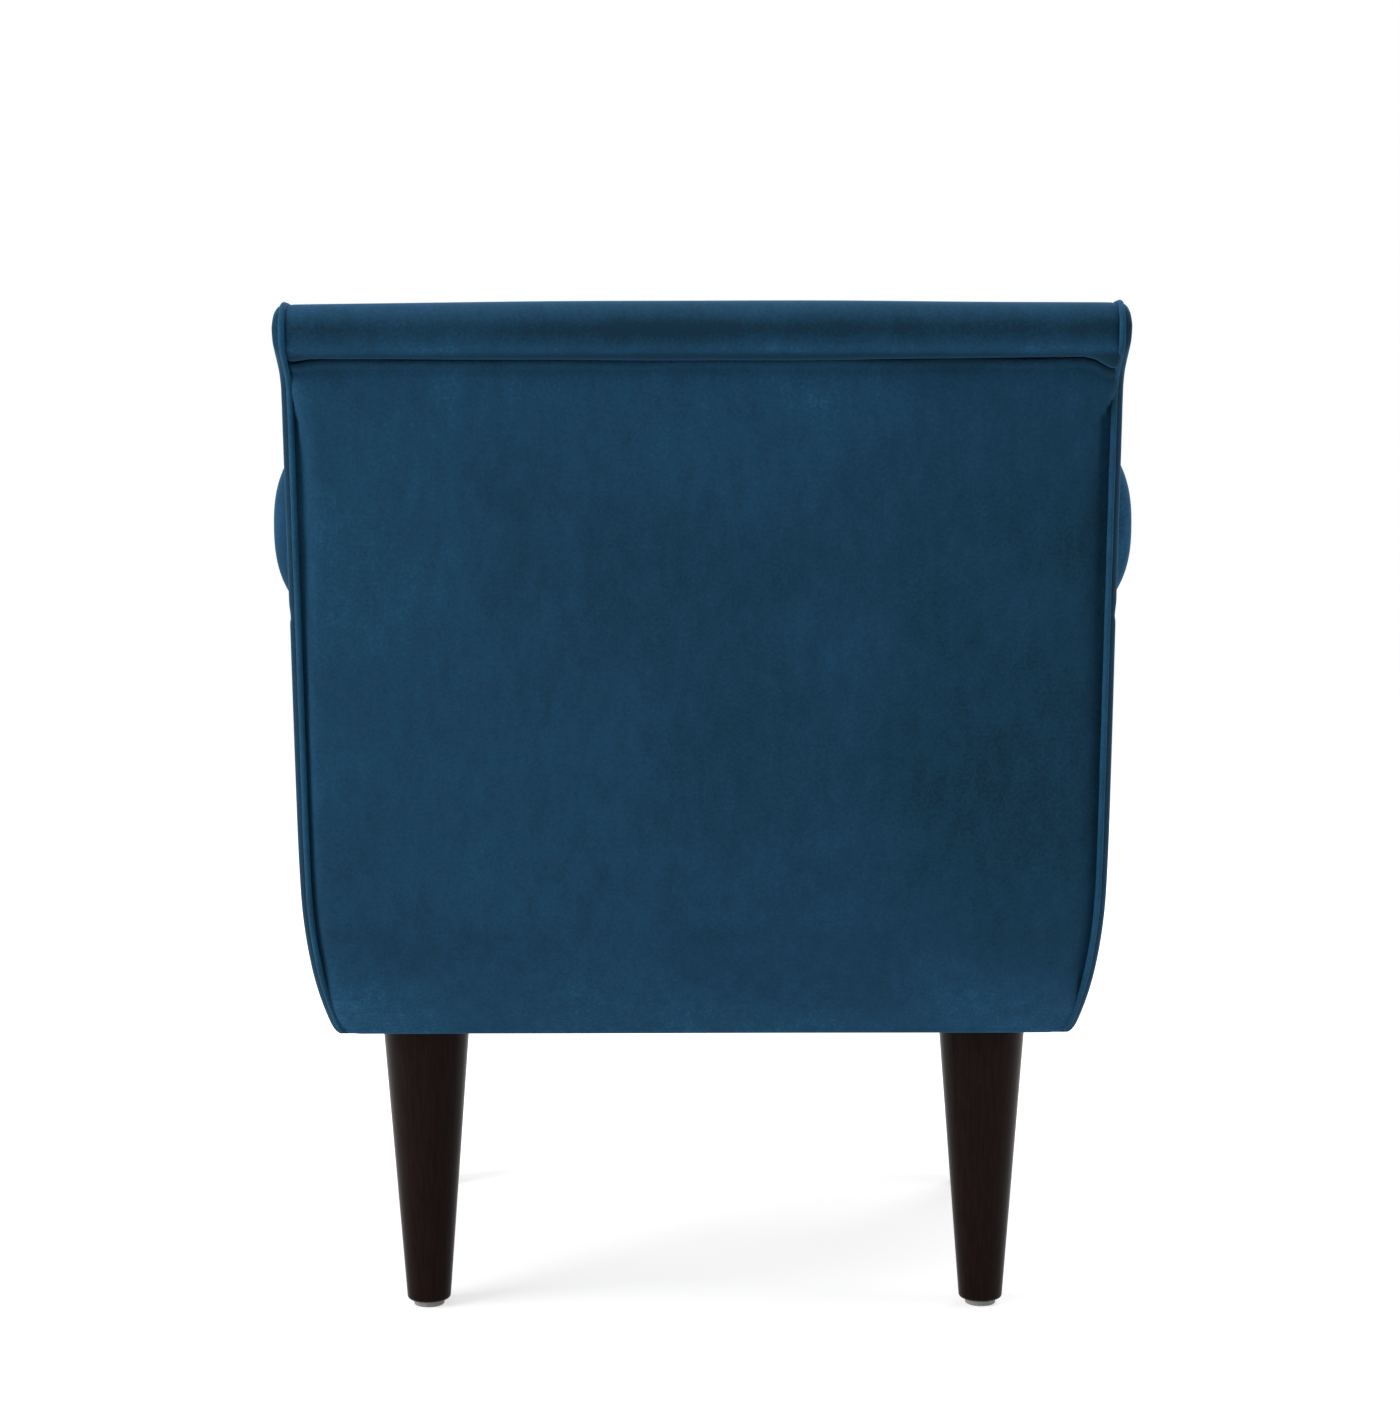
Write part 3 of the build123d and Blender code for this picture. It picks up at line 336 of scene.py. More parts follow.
def cord_mesh(name, path, square_to, closed=False):
    """A piping cord with capped ends, or a closed ring of it."""
    grid = cord_grid(path, square_to, closed)
    if not closed:
        first, last = (np.repeat(end[:, None], CORD_SIDES, axis=1) for end in (path[:1], path[-1:]))
        grid = np.concatenate([first, grid, last])
    made = mesh_piece(name, grid, path.mean(axis=0), around=closed)
    shell = bmesh.new()
    shell.from_mesh(made.data)
    bmesh.ops.recalc_face_normals(shell, faces=shell.faces)
    shell.to_mesh(made.data)
    shell.free()
    return made


# The back
def seam_drop(x):
    """How far the seam under the lip turns down towards its two ends, more at the chair's right."""
    right_drop, left_drop = 10.0, 3.0
    return right_drop * ease(-x, 279, 303) + left_drop * ease(x, 282, 303)


def inside_back_grid():
    """The inside back and its scroll in one length: a side-view line carried across the chair, moved along
    its normal by a low crown, and let down at the sides and at the seam by a round-over."""
    seat_crown, roll_crown = 7.0, 2.6
    side_fall, side_round = 4.0, 8.0
    seam_fall, seam_round = 2.0, 5.0
    corners = [
        (inside_y(DECK_Z), DECK_Z),
        (SCROLL_Y, TOP_Z),
        (REAR_Y, TOP_Z),
        (REAR_Y, LIP_Z),
        (NECK_Y + LIP_SEAM, LIP_Z),
    ]
    line = rounded_line(corners, [SCROLL_ROUND, LIP_ROUND, LIP_ROUND], 2.0)
    out = way_out(line)
    length = run_length(line)[:, None]
    top = length[np.argmax(line[:, 1])]
    x = edge_spaced(-PIPING_X, PIPING_X, COVER_STEP, 9.0)[None, :]
    z = line[:, 1][:, None]
    middle = 1 - (x / PIPING_X) ** 2
    # The seat side's crown begins above the cushion and ends below the scroll
    seat_side = ease(z, 470, 560) * (1 - ease(z, 650, 750)) * (length < top)
    lift = seat_crown * seat_side * middle + roll_crown * middle * ease(length, top - 90, top)
    lift = lift + 0.5 * hand_pull(x, length, 210, 3)
    lift = lift + 0.7 * hand_pull(x, 0, 120, 4) * ease(length, top + 60, top + 90)
    lift = lift - side_fall * (1 - rim(PIPING_X - abs(x), side_round))
    lift = lift - seam_fall * (1 - rim(length[-1] - length, seam_round))
    y = line[:, 0][:, None] + out[:, 0][:, None] * lift
    z = z + out[:, 1][:, None] * lift - seam_drop(x) * ease(length, length[-1] - 34, length[-1] - 6)
    return np.stack(np.broadcast_arrays(x, y, z), axis=-1)


def pad_edge(z, heel, arm, neck, neck_low, neck_high):
    """How far in from the side the outside back's pad ends at height z: further in above the heel and at the
    arms, and less again at the neck."""
    foot = 2.0
    return foot + heel * ease(z, 236, 300) + arm * ease(z, 500, 620) - neck * ease(z, neck_low, neck_high)


def outside_back_grid():
    """The outside back from the seam under the lip down over the heel: a side-view line carried across the
    chair to edges that draw in with the sides. Its pad is a quarter-circle round-over beside a groove, whose
    floor runs on under the piping; the groove closes towards the neck and the foot."""
    plain, lip_puff, pad_round = 3.0, 5.0, 11.0
    corners = [
        (NECK_Y + LIP_SEAM, LIP_Z + 1.0),
        (NECK_Y, LIP_Z),
        (HEEL_Y, HEEL_Z),
        (FOOT_Y, FRAME_Z),
        (FOOT_Y - 14.0, FRAME_Z - 0.4),
    ]
    line = rounded_line(corners, [11.0, HEEL_BEND, 4.0], 2.5)
    out = way_out(line)
    length = run_length(line)[:, None]
    z = line[:, 1][:, None]
    share = edge_spaced(-PIPING_X, PIPING_X, COVER_STEP, 26.0)[None, :] / PIPING_X
    left = pad_edge(z, 9.0, 3.0, 9.0, 688, 768)
    right = pad_edge(z, 12.0, 2.0, 11.0, 712, 748)
    edge = np.where(share > 0, left, right)
    # The piping covers the first part of that distance, and the rest is groove
    cord = HALF_BACK - PIPING_X
    half = side_x(z) - foot_round(z) - np.minimum(edge, cord)
    groove = np.maximum(edge - cord, 0)
    x = share * half
    # The puff under the lip fades down the back, and the padding thins out to nothing at the foot
    pad = plain + lip_puff * rim(length, 9.0) * (1 - ease(length, 12, 130))
    pad = pad + 0.6 * hand_pull(x, length, 260, 8)
    pad = pad * (1 - ease(length, 520, 575)) + 0.9 * hand_pull(x, 0, 85, 9) * (1 - ease(length, 8, 40))
    lift = -GROOVE_FLOOR + (GROOVE_FLOOR + pad) * rim(half - abs(x) - groove, pad_round)
    y = line[:, 0][:, None] + out[:, 0][:, None] * lift
    z = z + out[:, 1][:, None] * lift - seam_drop(x) * (1 - ease(length, 6, 70))
    return np.stack(np.broadcast_arrays(x, y, z), axis=-1)


def pad_between(first, second, radius, height, crown, foot):
    """A pad ruled between two edge lines, point(u, v) = (1 - v) first(u) + v second(u), with its height above
    its flat back: a quarter-circle round-over near the edges and a low crown. foot is the distance from its
    straight lower end."""
    rim_share, crown_reach = 0.16, 40.0
    v = edge_spaced(0, 1, 1 / PAD_STEPS, rim_share)[None, :, None]
    flat = (1 - v) * first[:, None] + v * second[:, None]
    rung = second - first
    wide = np.linalg.norm(rung, axis=1)
    square = []
    for line in (first, second):
        along = np.gradient(line, axis=0)
        along /= np.linalg.norm(along, axis=1, keepdims=True)
        square.append(abs(along[:, 0] * rung[:, 1] - along[:, 1] * rung[:, 0]) / np.maximum(wide, 1e-6))
    v = v[..., 0]
    near = np.minimum(v * (wide * square[0])[:, None], (1 - v) * (wide * square[1])[:, None])
    near = np.minimum(near, foot(flat))
    return flat, height * rim(near, radius) + crown * ease(near, 0, crown_reach)


def back_facing_grid():
    """The padded side of the scroll, ruled between its front edge and its rear edge, which meet at the lip.
    Below the arm's crown the front edge runs on into the arm, and the pad is thinned at its foot."""
    rows, crown, foot_reach, foot_thin = 140, 0.6, 40.0, 0.8
    end = (REAR_Y, (TOP_Z + LIP_Z) / 2)
    corners = [(inside_y(SIDE_TOP), SIDE_TOP), (SCROLL_Y, TOP_Z), (REAR_Y, TOP_Z), end]
    front = rounded_line(corners, [SCROLL_ROUND, LIP_ROUND], 1.0)
    front[:, 0] -= ARM_LAP * (1 - ease(front[:, 1], ROLL_TOP - 24, ROLL_TOP - 6))
    rear = rounded_line([(outside_y(SIDE_TOP), SIDE_TOP), *EAR_SWEEP, end], EAR_ROUNDS, 1.0)
    edges = shared_out(front, rows), shared_out(rear, rows)
    flat, height = pad_between(
        *edges, EDGE_ROUND, FACING + EDGE_PUFF, crown, lambda p: p[..., 1] - SIDE_TOP + foot_reach
    )
    height = height - foot_thin * (1 - ease(flat[..., 1], SIDE_TOP, SIDE_TOP + 12))
    return np.stack([SIDE_SEAM_X - EDGE_PUFF + height, flat[..., 0], flat[..., 1]], axis=-1)


def back_piping_path():
    """From the foot of the outside back, over the lip and the scroll, down to the arm."""
    arm_z = ROLL_TOP - 10.0
    corners = [
        (FOOT_Y, FRAME_Z),
        (HEEL_Y, HEEL_Z),
        *EAR_SWEEP,
        (REAR_Y, TOP_Z),
        (SCROLL_Y, TOP_Z),
        (inside_y(arm_z), arm_z),
    ]
    y, z = rounded_line(corners, [HEEL_BEND, *EAR_ROUNDS, LIP_ROUND, SCROLL_ROUND], 0.4).T
    path = np.column_stack([side_x(z) - foot_round(z) - (HALF_BACK - PIPING_X), y, z])
    return evenly(path[z > FRAME_Z + PIPING_R], 2.0)


# The arms
def outside_arm_grid():
    """The outside of an arm under the roll: rows at heights z, from the arm's front to the swept rear edge,
    on the drawn-in side, with rounded edges and a low crown. Behind the roll its top tucks up under the
    scroll's facing."""
    crown_height, lap_reach, tuck_in, tuck_up = 3.2, 60.0, 1.8, 7.0
    z = edge_spaced(FRAME_Z, SIDE_TOP, COVER_STEP, 9.0)[:, None]
    rear = outside_y(z)
    share = edge_spaced(0, 1, 0.014, 0.016)[None, :]
    y = ARM_START + share * (rear - ARM_START)
    lean = np.gradient(rear, axis=0) / np.gradient(z, axis=0)
    to_rear = (rear - y) / np.sqrt(1 + lean**2)
    # 1 where the scroll's facing laps over the top edge, 0 under the roll
    lapped = ease(y, inside_y(SIDE_TOP) - 60, inside_y(SIDE_TOP) - 25)
    to_roll = SIDE_TOP - z + lap_reach * lapped
    near = np.minimum.reduce(np.broadcast_arrays(y - ARM_START, to_rear, z - FRAME_Z, to_roll))
    crown = crown_height * ease(near, 0, 70) * (1 - ease(z, SIDE_TOP - 70, SIDE_TOP))
    pull = 0.4 * hand_pull(y, z, 240, 5) * ease(near, 0, 30)
    height = (FACING + EDGE_PUFF) * rim(near, EDGE_ROUND) + crown + pull
    tuck = lapped * ease(z, SIDE_TOP - 5, SIDE_TOP)
    x = side_x(z) - FACING - EDGE_PUFF + height - tuck_in * tuck
    return np.stack(np.broadcast_arrays(x, y, z + tuck_up * tuck), axis=-1)


def arm_grid():
    """A rolled arm's cover: its front-view line carried from the front piping back to the inside back, and
    past it outside the back's side, where the end closes in a dome: c + (p - c)(1 - s^n)^(1/n)."""
    front_fall, front_round, seat_crown = 3.0, 6.0, 2.4
    line = evenly(roll_line(DECK_Z, SIDE_SEAM_X), 2.5)
    out = way_out(line)
    x, z = line[:, 0][:, None], line[:, 1][:, None]
    # 1 for the part of the roll that passes outside the back's side, 0 for the part that ends at the back
    outer = ease(x, HALF_BACK - 3.0, HALF_BACK + 4.0)
    stop = inside_y(z) + (ARM_END - DOME_DEPTH - inside_y(z)) * outer
    share = edge_spaced(0, 1, 0.014, 0.012)[None, :-5]
    y = ARM_START + share * (stop - ARM_START)
    seat = ease(z, 470, 540) * (1 - ease(x, HALF_SEAT + 2, HALF_SEAT + 30))
    lift = -front_fall * (1 - rim(y - ARM_START, front_round))
    lift = lift + seat_crown * seat * np.sin(np.pi * share) ** 0.6
    pull = 0.5 * hand_pull(y, run_length(line)[:, None], 200, 11)
    lift = lift + pull * ease(share, 0, 0.05) * (1 - ease(share, 0.9, 1))
    sleeve = np.stack([x + out[:, 0][:, None] * lift, y, z + out[:, 1][:, None] * lift], axis=-1)
    s = np.sin(np.linspace(0, np.pi / 2, 15))[None, 1:]
    keep = (1 - s**DOME_POWER) ** (1 / DOME_POWER)
    hub_x, hub_z = SIDE_SEAM_X - 1.0, ROLL_Z
    last = sleeve[:, -1]
    domed = outer > 0.02
    round_x = np.where(domed, hub_x + (last[:, :1] - hub_x) * keep, last[:, :1])
    round_z = np.where(domed, hub_z + (last[:, 2:] - hub_z) * keep, last[:, 2:])
    round_y = last[:, 1:2] + DOME_DEPTH * s * outer
    cap = np.stack(np.broadcast_arrays(round_x, round_y, round_z), axis=-1)
    return np.concatenate([sleeve, cap], axis=1)


def arm_front_edges():
    """The two edges of an arm's front (x, z), from the bottom up to the crown of the roll."""
    roll = roll_line(FRAME_Z, HALF_BACK - 0.5)
    crown = np.argmin(abs(roll[:, 0] - (HALF_SEAT + HALF_ARM) / 2) + (ROLL_TOP - roll[:, 1]))
    under = SIDE[SIDE[:, 1] < roll[-1, 1] - 5.0]
    outer = np.vstack([under, roll[:crown:-1], roll[crown : crown + 1]])
    return roll[: crown + 1], outer


def arm_front_grid():
    """The front of an arm: a pad ruled between its two edges, with rounded edges and a low crown."""
    rows, crown = 170, 1.6
    inner, outer = arm_front_edges()
    edges = shared_out(inner, rows), shared_out(outer, rows)
    flat, height = pad_between(*edges, COVER, COVER, crown, lambda p: p[..., 1] - FRAME_Z)
    return np.stack([flat[..., 0], FRONT_Y + COVER - height, flat[..., 1]], axis=-1)


def arm_piping_path():
    """Up the inner edge of an arm's front, over the roll and down the outer edge."""
    inner, outer = arm_front_edges()
    edge = evenly(np.vstack([inner, outer[-2::-1]]), 2.0)
    return np.column_stack([edge[:, 0], np.full(len(edge), FRONT_PIPING_Y), edge[:, 1]])


def front_band_grid():
    """The band under the cushion: a flat pad with rounded edges and a low crown."""
    pad, crown, seated = 7.0, 1.4, 7.4
    half = HALF_SEAT - PIPING_R - 0.2
    x = edge_spaced(-half, half, COVER_STEP, 8.0)[None, :]
    z = edge_spaced(FRAME_Z, DECK_Z, 6.0, 8.0)[:, None]
    near = np.minimum.reduce(np.broadcast_arrays(x - x[0, 0], x[0, -1] - x, z - FRAME_Z, DECK_Z - z))
    pull = 0.3 * hand_pull(x, z, 170, 2) * ease(near, 0, 20)
    height = pad * rim(near, pad) + crown * ease(near, 0, 45) + pull
    return np.stack(np.broadcast_arrays(x, FRONT_Y + seated - height, z), axis=-1)


# Cloths under the seat
def stretched_cloth_grid(half, front, rear, level, sag):
    """A cloth stapled at its edges: level less sag (1 - a^2)(1 - b^2), with a slight unevenness."""
    a = np.linspace(-1, 1, 61)[:, None]
    b = np.linspace(-1, 1, 57)[None, :]
    inside_edge = (1 - a**2) * (1 - b**2)
    z = level - sag * inside_edge + 0.25 * hand_pull(a * half, b * half, 150, 21) * ease(inside_edge, 0, 0.3)
    y = (front + rear) / 2 + b * (rear - front) / 2
    return np.stack(np.broadcast_arrays(a * half, y, z), axis=-1)


# The loose seat cushion
def cushion_rear(z):
    """Rear face of the cushion at height z, along the inside back."""
    return inside_y(z) - CUSHION_GAP - PIPING_R


def cushion_ring(z, inset, count=220):
    """Plan of the cushion at height z: a rounded rectangle whose sides and front draw in midway."""
    half, front = CUSHION_HALF - inset, CUSHION_FRONT + inset
    rear = cushion_rear(z) - inset
    middle = (front + rear) / 2
    corners = [(0, front), (half, front), (half, rear), (-half, rear), (-half, front), (0, front)]
    ring = shared_out(rounded_line(corners, [CUSHION_CORNER] * 4, 1.0), count + 1)[:-1]
    x, y = ring.T
    x = x * (1 - CUSHION_DRAW / half * (1 - np.clip((y - middle) / (rear - middle), -1, 1) ** 2))
    y = y + CUSHION_DRAW * (1 - np.clip(x / half, -1, 1) ** 2) * (1 - ease(y, front, middle))
    return np.column_stack([x, y, np.full(count, float(z))])


def cushion_grid():
    """The cushion as rings from the middle of its underside, out, up the boxing and in over the crown. Ring k
    is the plan at its height, drawn towards the middle: m + share (ring - m)."""
    under, boxing, over, crown_height = 12, 7, 26, 15.0
    inwards = np.linspace(0.985, 0, over)
    shares = np.concatenate([np.linspace(0, 0.97, under), np.ones(boxing), inwards])
    walls = np.linspace(LOWER_SEAM_Z, BOXING_TOP, boxing)
    crown = BOXING_TOP + crown_height * (1 - inwards**2) ** 0.6
    heights = np.concatenate([np.full(under, DECK_Z + 1.0), walls, crown])
    rings = []
    for share, z in zip(shares, heights):
        ring = cushion_ring(min(z, BOXING_TOP), CUSHION_INSET)
        centre = ring[:, :2].mean(axis=0)
        ring[:, :2] = centre + share * (ring[:, :2] - centre)
        ring[:, 2] = z
        rings.append(ring)
    return np.stack(rings, axis=1)


def points_of(mesh):
    """A mesh's points in millimetres."""
    flat = np.empty(len(mesh.vertices) * 3)
    mesh.vertices.foreach_get("co", flat)
    return flat.reshape(-1, 3) / MM


def set_points(mesh, points):
    """Moves a mesh's points to places in millimetres."""
    mesh.vertices.foreach_set("co", (points * MM).ravel())
    mesh.update()


def stuffed(made):
    """Blows the cushion's cover up as its stuffing does: a cloth under pressure from within, held along its
    two seams, its movement capped, then kept off the deck, the arms and the back."""
    voxel, held_within, pressure, steps = 6.0, 7.0, 4.0, 20
    arm_clear, deck_clear, back_clear = 1.0, 0.2, 2.2
    scene = bpy.context.scene
    bpy.context.view_layer.objects.active = made
    made.select_set(True)
    made.data.remesh_voxel_size = voxel * MM
    bpy.ops.object.voxel_remesh()
    rest = points_of(made.data)
    seams = np.vstack([cushion_ring(z, CUSHION_INSET, RING_POINTS) for z in (LOWER_SEAM_Z, BOXING_TOP)])
    gaps = []
    for part in np.array_split(rest, 60):
        gaps.append(np.linalg.norm(part[:, None] - seams[None], axis=2).min(axis=1))
    held = made.vertex_groups.new(name="seams")
    held.add(np.flatnonzero(np.concatenate(gaps) < held_within).tolist(), 1.0, "REPLACE")
    blown = made.modifiers.new("stuffing", "CLOTH")
    blown.settings.use_pressure = True
    blown.settings.uniform_pressure_force = pressure
    blown.settings.effector_weights.gravity = 0.0
    blown.settings.vertex_group_mass = "seams"
    for step in range(1, steps + 1):
        scene.frame_set(step)
    filled = made.evaluated_get(bpy.context.evaluated_depsgraph_get())
    move = points_of(filled.data) - rest
    made.modifiers.remove(blown)
    scene.frame_set(1)
    far = np.linalg.norm(move, axis=1, keepdims=True)
    rest = rest + move * np.minimum(1, CUSHION_SWELL / np.maximum(far, 1e-9))
    x, y, z = rest.T
    x = np.clip(x, -HALF_SEAT + arm_clear, HALF_SEAT - arm_clear)
    z = np.maximum(z, DECK_Z + deck_clear)
    y = np.minimum(y, inside_y(z) - back_clear)
    # The slot in the rear boxing that the zip sits in
    slope = (z - ZIP_Z) / math.cos(INSIDE_RAKE)
    slot = (1 - ease(abs(slope), 5.5, 10.0)) * (1 - ease(abs(x), ZIP_LENGTH / 2 - 2, ZIP_LENGTH / 2 + 4))
    seated = cushion_rear(z) - ZIP_DEPTH / math.cos(INSIDE_RAKE)
    y = np.where(y > seated - 12.0, y + slot * (np.minimum(y, seated) - y), y)
    set_points(made.data, np.column_stack([x, y, z]))
    made.data.shade_smooth()
    rounder = made.modifiers.new("smooth cover", "SUBSURF")
    rounder.levels = rounder.render_levels = 1
    return made


def zip_grid():
    """The zip's two tapes and its coil in one strip across the slope: flat tape, and a half-round coil whose
    height swells once every pitch along it."""
    tape_depth, coil_half, coil_height, pitch = 3.3, 2.5, 1.6, 1.6
    along = np.linspace(-ZIP_LENGTH / 2, ZIP_LENGTH / 2, 1400)[:, None]
    across = np.array([-11, -8, -4, -2.6, -2.4, -2.0, -1.2, 0, 1.2, 2.0, 2.4, 2.6, 4, 8, 11.0])[None, :]
    coil = np.sqrt(np.maximum(0, 1 - (across / coil_half) ** 2))
    height = -tape_depth + coil_height * coil * (0.82 + 0.18 * np.cos(2 * np.pi * along / pitch))
    y = cushion_rear(ZIP_Z) - across * math.sin(INSIDE_RAKE) + height * math.cos(INSIDE_RAKE)
    z = ZIP_Z - across * math.cos(INSIDE_RAKE) - height * math.sin(INSIDE_RAKE)
    return np.stack(np.broadcast_arrays(along, y, z), axis=-1)


# Materials
def colour(code):
    """An sRGB hex colour as linear light."""
    parts = [int(code[place : place + 2], 16) / 255 for place in (1, 3, 5)]
    return (*[p / 12.92 if p <= 0.04045 else ((p + 0.055) / 1.055) ** 2.4 for p in parts], 1.0)


def add(tree, kind, sockets=None, **settings):
    """One node with its settings; sockets takes values, or outputs of other nodes to link."""
    made = tree.nodes.new(kind)
    for name, value in settings.items():
        setattr(made, name, value)
    for name, value in (sockets or {}).items():
        if isinstance(value, bpy.types.NodeSocket):
            tree.links.new(value, made.inputs[name])
        else:
            made.inputs[name].default_value = value
    return made


def new_material(name, **sockets):
    """A material with one surface shader and the piece's own coordinates in metres."""
    made = bpy.data.materials.new(name)
    made.use_nodes = True
    tree = made.node_tree
    shader = tree.nodes["Principled BSDF"]
    for socket, value in sockets.items():
        shader.inputs[socket.replace("_", " ")].default_value = value
    place = add(tree, "ShaderNodeTexCoord").outputs["Object"]
    return made, tree, shader, place


def noise(tree, vector, size, detail):
    """Fractal noise whose features are about size millimetres wide."""
    sockets = {"Vector": vector, "Scale": 1.0 / (size * MM), "Detail": detail}
    return add(tree, "ShaderNodeTexNoise", sockets).outputs["Fac"]


def colour_by(tree, shader, value, stops):
    """Colours a surface by a value, along a ramp of places and hex colours."""
    ramp = add(tree, "ShaderNodeValToRGB", {"Fac": value})
    marks = ramp.color_ramp.elements
    for mark, (place, code) in zip(marks, (stops[0], stops[-1])):
        mark.position, mark.color = place, colour(code)
    for place, code in stops[1:-1]:
        marks.new(place).color = colour(code)
    tree.links.new(ramp.outputs["Color"], shader.inputs["Base Color"])


def bump_by(tree, shader, value, strength, depth):
    """Roughens a surface by a value, over a depth in millimetres."""
    bump = add(tree, "ShaderNodeBump", {"Height": value, "Strength": strength, "Distance": depth * MM})
    tree.links.new(bump.outputs["Normal"], shader.inputs["Normal"])


def velvet(name, shades, patch):
    """Cotton velvet, woven and sheared: a dark pile that turns lighter at grazing angles, with soft patches
    and streaks where the pile lies different ways and fine clumps of pile. A piece may carry painted light and
    shade at its points, from -1 for painted shade to 1 for painted light, which moves its colour along the ramp.
    The clumps are drawn coarser than real pile, which would not show."""
    made, tree, shader, place = new_material(
        name,
        Roughness=0.86,
        Sheen_Weight=0.55,
        Sheen_Roughness=0.42,
        Sheen_Tint=colour("#4585b8"),
        Specular_IOR_Level=0.18,
    )
    # Painted light and shade that the piece carries at its points, a quarter of it added to the blend
    painted_value = add(tree, "ShaderNodeAttribute", attribute_name="painted_light_and_shade").outputs["Fac"]
    drawn = add(tree, "ShaderNodeMapping", {"Vector": place, "Scale": (1.0, 1.0, 0.4)}).outputs[0]
    # Patches, streaks and clumps: where each is measured, its size, its detail and its share
    layers = [(place, patch, 3.0, 0.5), (drawn, 11.0, 4.0, 0.3), (place, 2.2, 3.0, 0.45)]
    blend = add(tree, "ShaderNodeMath", {0: painted_value, 1: 0.25}, operation="MULTIPLY").outputs[0]
    for vector, size, detail, share in layers:
        sockets = {0: noise(tree, vector, size, detail), 1: share, 2: blend}
        blend = add(tree, "ShaderNodeMath", sockets, operation="MULTIPLY_ADD").outputs[0]
    colour_by(tree, shader, blend, list(zip((0.35, 0.49, 0.625, 0.78, 1.0), shades)))
    bump_by(tree, shader, noise(tree, place, 1.5, 3.0), 0.22, 0.5)
    return made


def long_grained(name, dark, pale, gloss):
    """Hardwood, turned or planed: long narrow grain along its length, in its colour, shine and surface."""
    made, tree, shader, place = new_material(name, Specular_IOR_Level=0.05)
    drawn = add(tree, "ShaderNodeMapping", {"Vector": place, "Scale": (1.0, 1.0, 0.06)}).outputs[0]
    grain = noise(tree, drawn, 2.2, 6.0)
    colour_by(tree, shader, grain, [(0.32, dark), (0.72, pale)])
    rough = add(tree, "ShaderNodeMapRange", {"Value": grain, "To Min": gloss - 0.05, "To Max": gloss + 0.07})
    tree.links.new(rough.outputs["Result"], shader.inputs["Roughness"])
    bump_by(tree, shader, grain, 0.12, 0.3)
    return made


def speckled(name, dark, pale, size, roughness, depth, **sockets):
    """A plain matter with a fine even grain of one size."""
    made, tree, shader, place = new_material(name, Roughness=roughness, **sockets)
    grit = noise(tree, place, size, 4.0)
    colour_by(tree, shader, grit, [(0.35, dark), (0.65, pale)])
    bump_by(tree, shader, grit, 0.3, depth)
    return made


# Woven and sheared cotton pile: deep blue and soft, paler where it is seen at a low angle
# The darkest and the palest shades show mostly where painted shade and painted light push the colour along the
# ramp
VELVET = velvet("blue velvet", ("#04293c", "#0a344b", "#103b55", "#154462", "#265c80"), 130.0)
# The same velvet on the piping cords: a little paler and more even, the paler shades a painted highlight along the
# cords
CORD_VELVET = velvet("blue velvet piping", ("#0b3144", "#133e56", "#184763", "#1d506f", "#255a7c"), 60.0)
# Turned hardwood under dark stain and lacquer: nearly black, with a low shine and faint grain
LEG_WOOD = long_grained("espresso stained leg wood", "#110706", "#20100d", 0.3)
# Planed hardwood, unfinished: pale, matt, with plain grain
FRAME_WOOD = long_grained("planed frame wood", "#a58256", "#c6a777", 0.62)
# Moulded nylon: even pale grey with a dull shine
GLIDE = speckled("grey nylon glide", "#8b8a88", "#a3a2a0", 1.6, 0.5, 0.05)
# Drawn or pressed steel with zinc on it: bright grey with a fine spangle
STEEL = speckled("zinc plated steel", "#8f9092", "#b4b6b8", 0.8, 0.32, 0.02, Metallic=1.0)
# Spun and bonded fibres: flat black with a fine felted grain
LINING = speckled("black non-woven cloth", "#0d0d0f", "#1b1b1e", 1.1, 0.92, 0.25)
# Rubber threads woven in yarn: matt brown with a coarse grain
WEBBING = speckled("elastic webbing", "#57452c", "#75603f", 1.4, 0.85, 0.3)
# Tightly woven polyester: matt dark blue with a very fine grain
ZIP_TAPE = speckled("woven zip tape", "#0f2434", "#18344a", 0.7, 0.85, 0.15)
# Die-cast zinc under enamel: dark blue with a smooth half-metal shine
ZIP_METAL = speckled("enamelled zip slider", "#10283a", "#1b3a52", 1.2, 0.4, 0.02, Metallic=0.6)


# The chair's pieces
def store_painted_shading(made, painted_value):
    """Stores painted light and shade at a piece's points."""
    made.data.attributes.new("painted_light_and_shade", "FLOAT", "POINT").data.foreach_set("value", painted_value.astype(np.float32))


def roll_painted_light_and_shade(points):
    """Painted shade along the middle of the roll's rear, in uneven lengths, painted sheen low on the roll and
    painted shade in the seam under the lip.
    """
    x, y, z = points.T
    rise = (z - LIP_Z) / (TOP_Z - LIP_Z)
    dark_at, dark_wide, light_at, light_wide = 0.5, 0.2, 0.13, 0.1
    # Painted shade band, painted sheen below it, and painted shade in the seam
    dark = np.exp(-(((rise - dark_at) / dark_wide) ** 2)) * (1.0 + 0.35 * hand_pull(x, z, 150, 6))
    light = 0.5 * np.exp(-(((rise - light_at) / light_wide) ** 2))
    seam = 1.8 * (1 - ease(z, LIP_Z - 1, LIP_Z + 3))
    return (light - dark - seam) * ease(y, SCROLL_Y + 50, REAR_Y - 25)


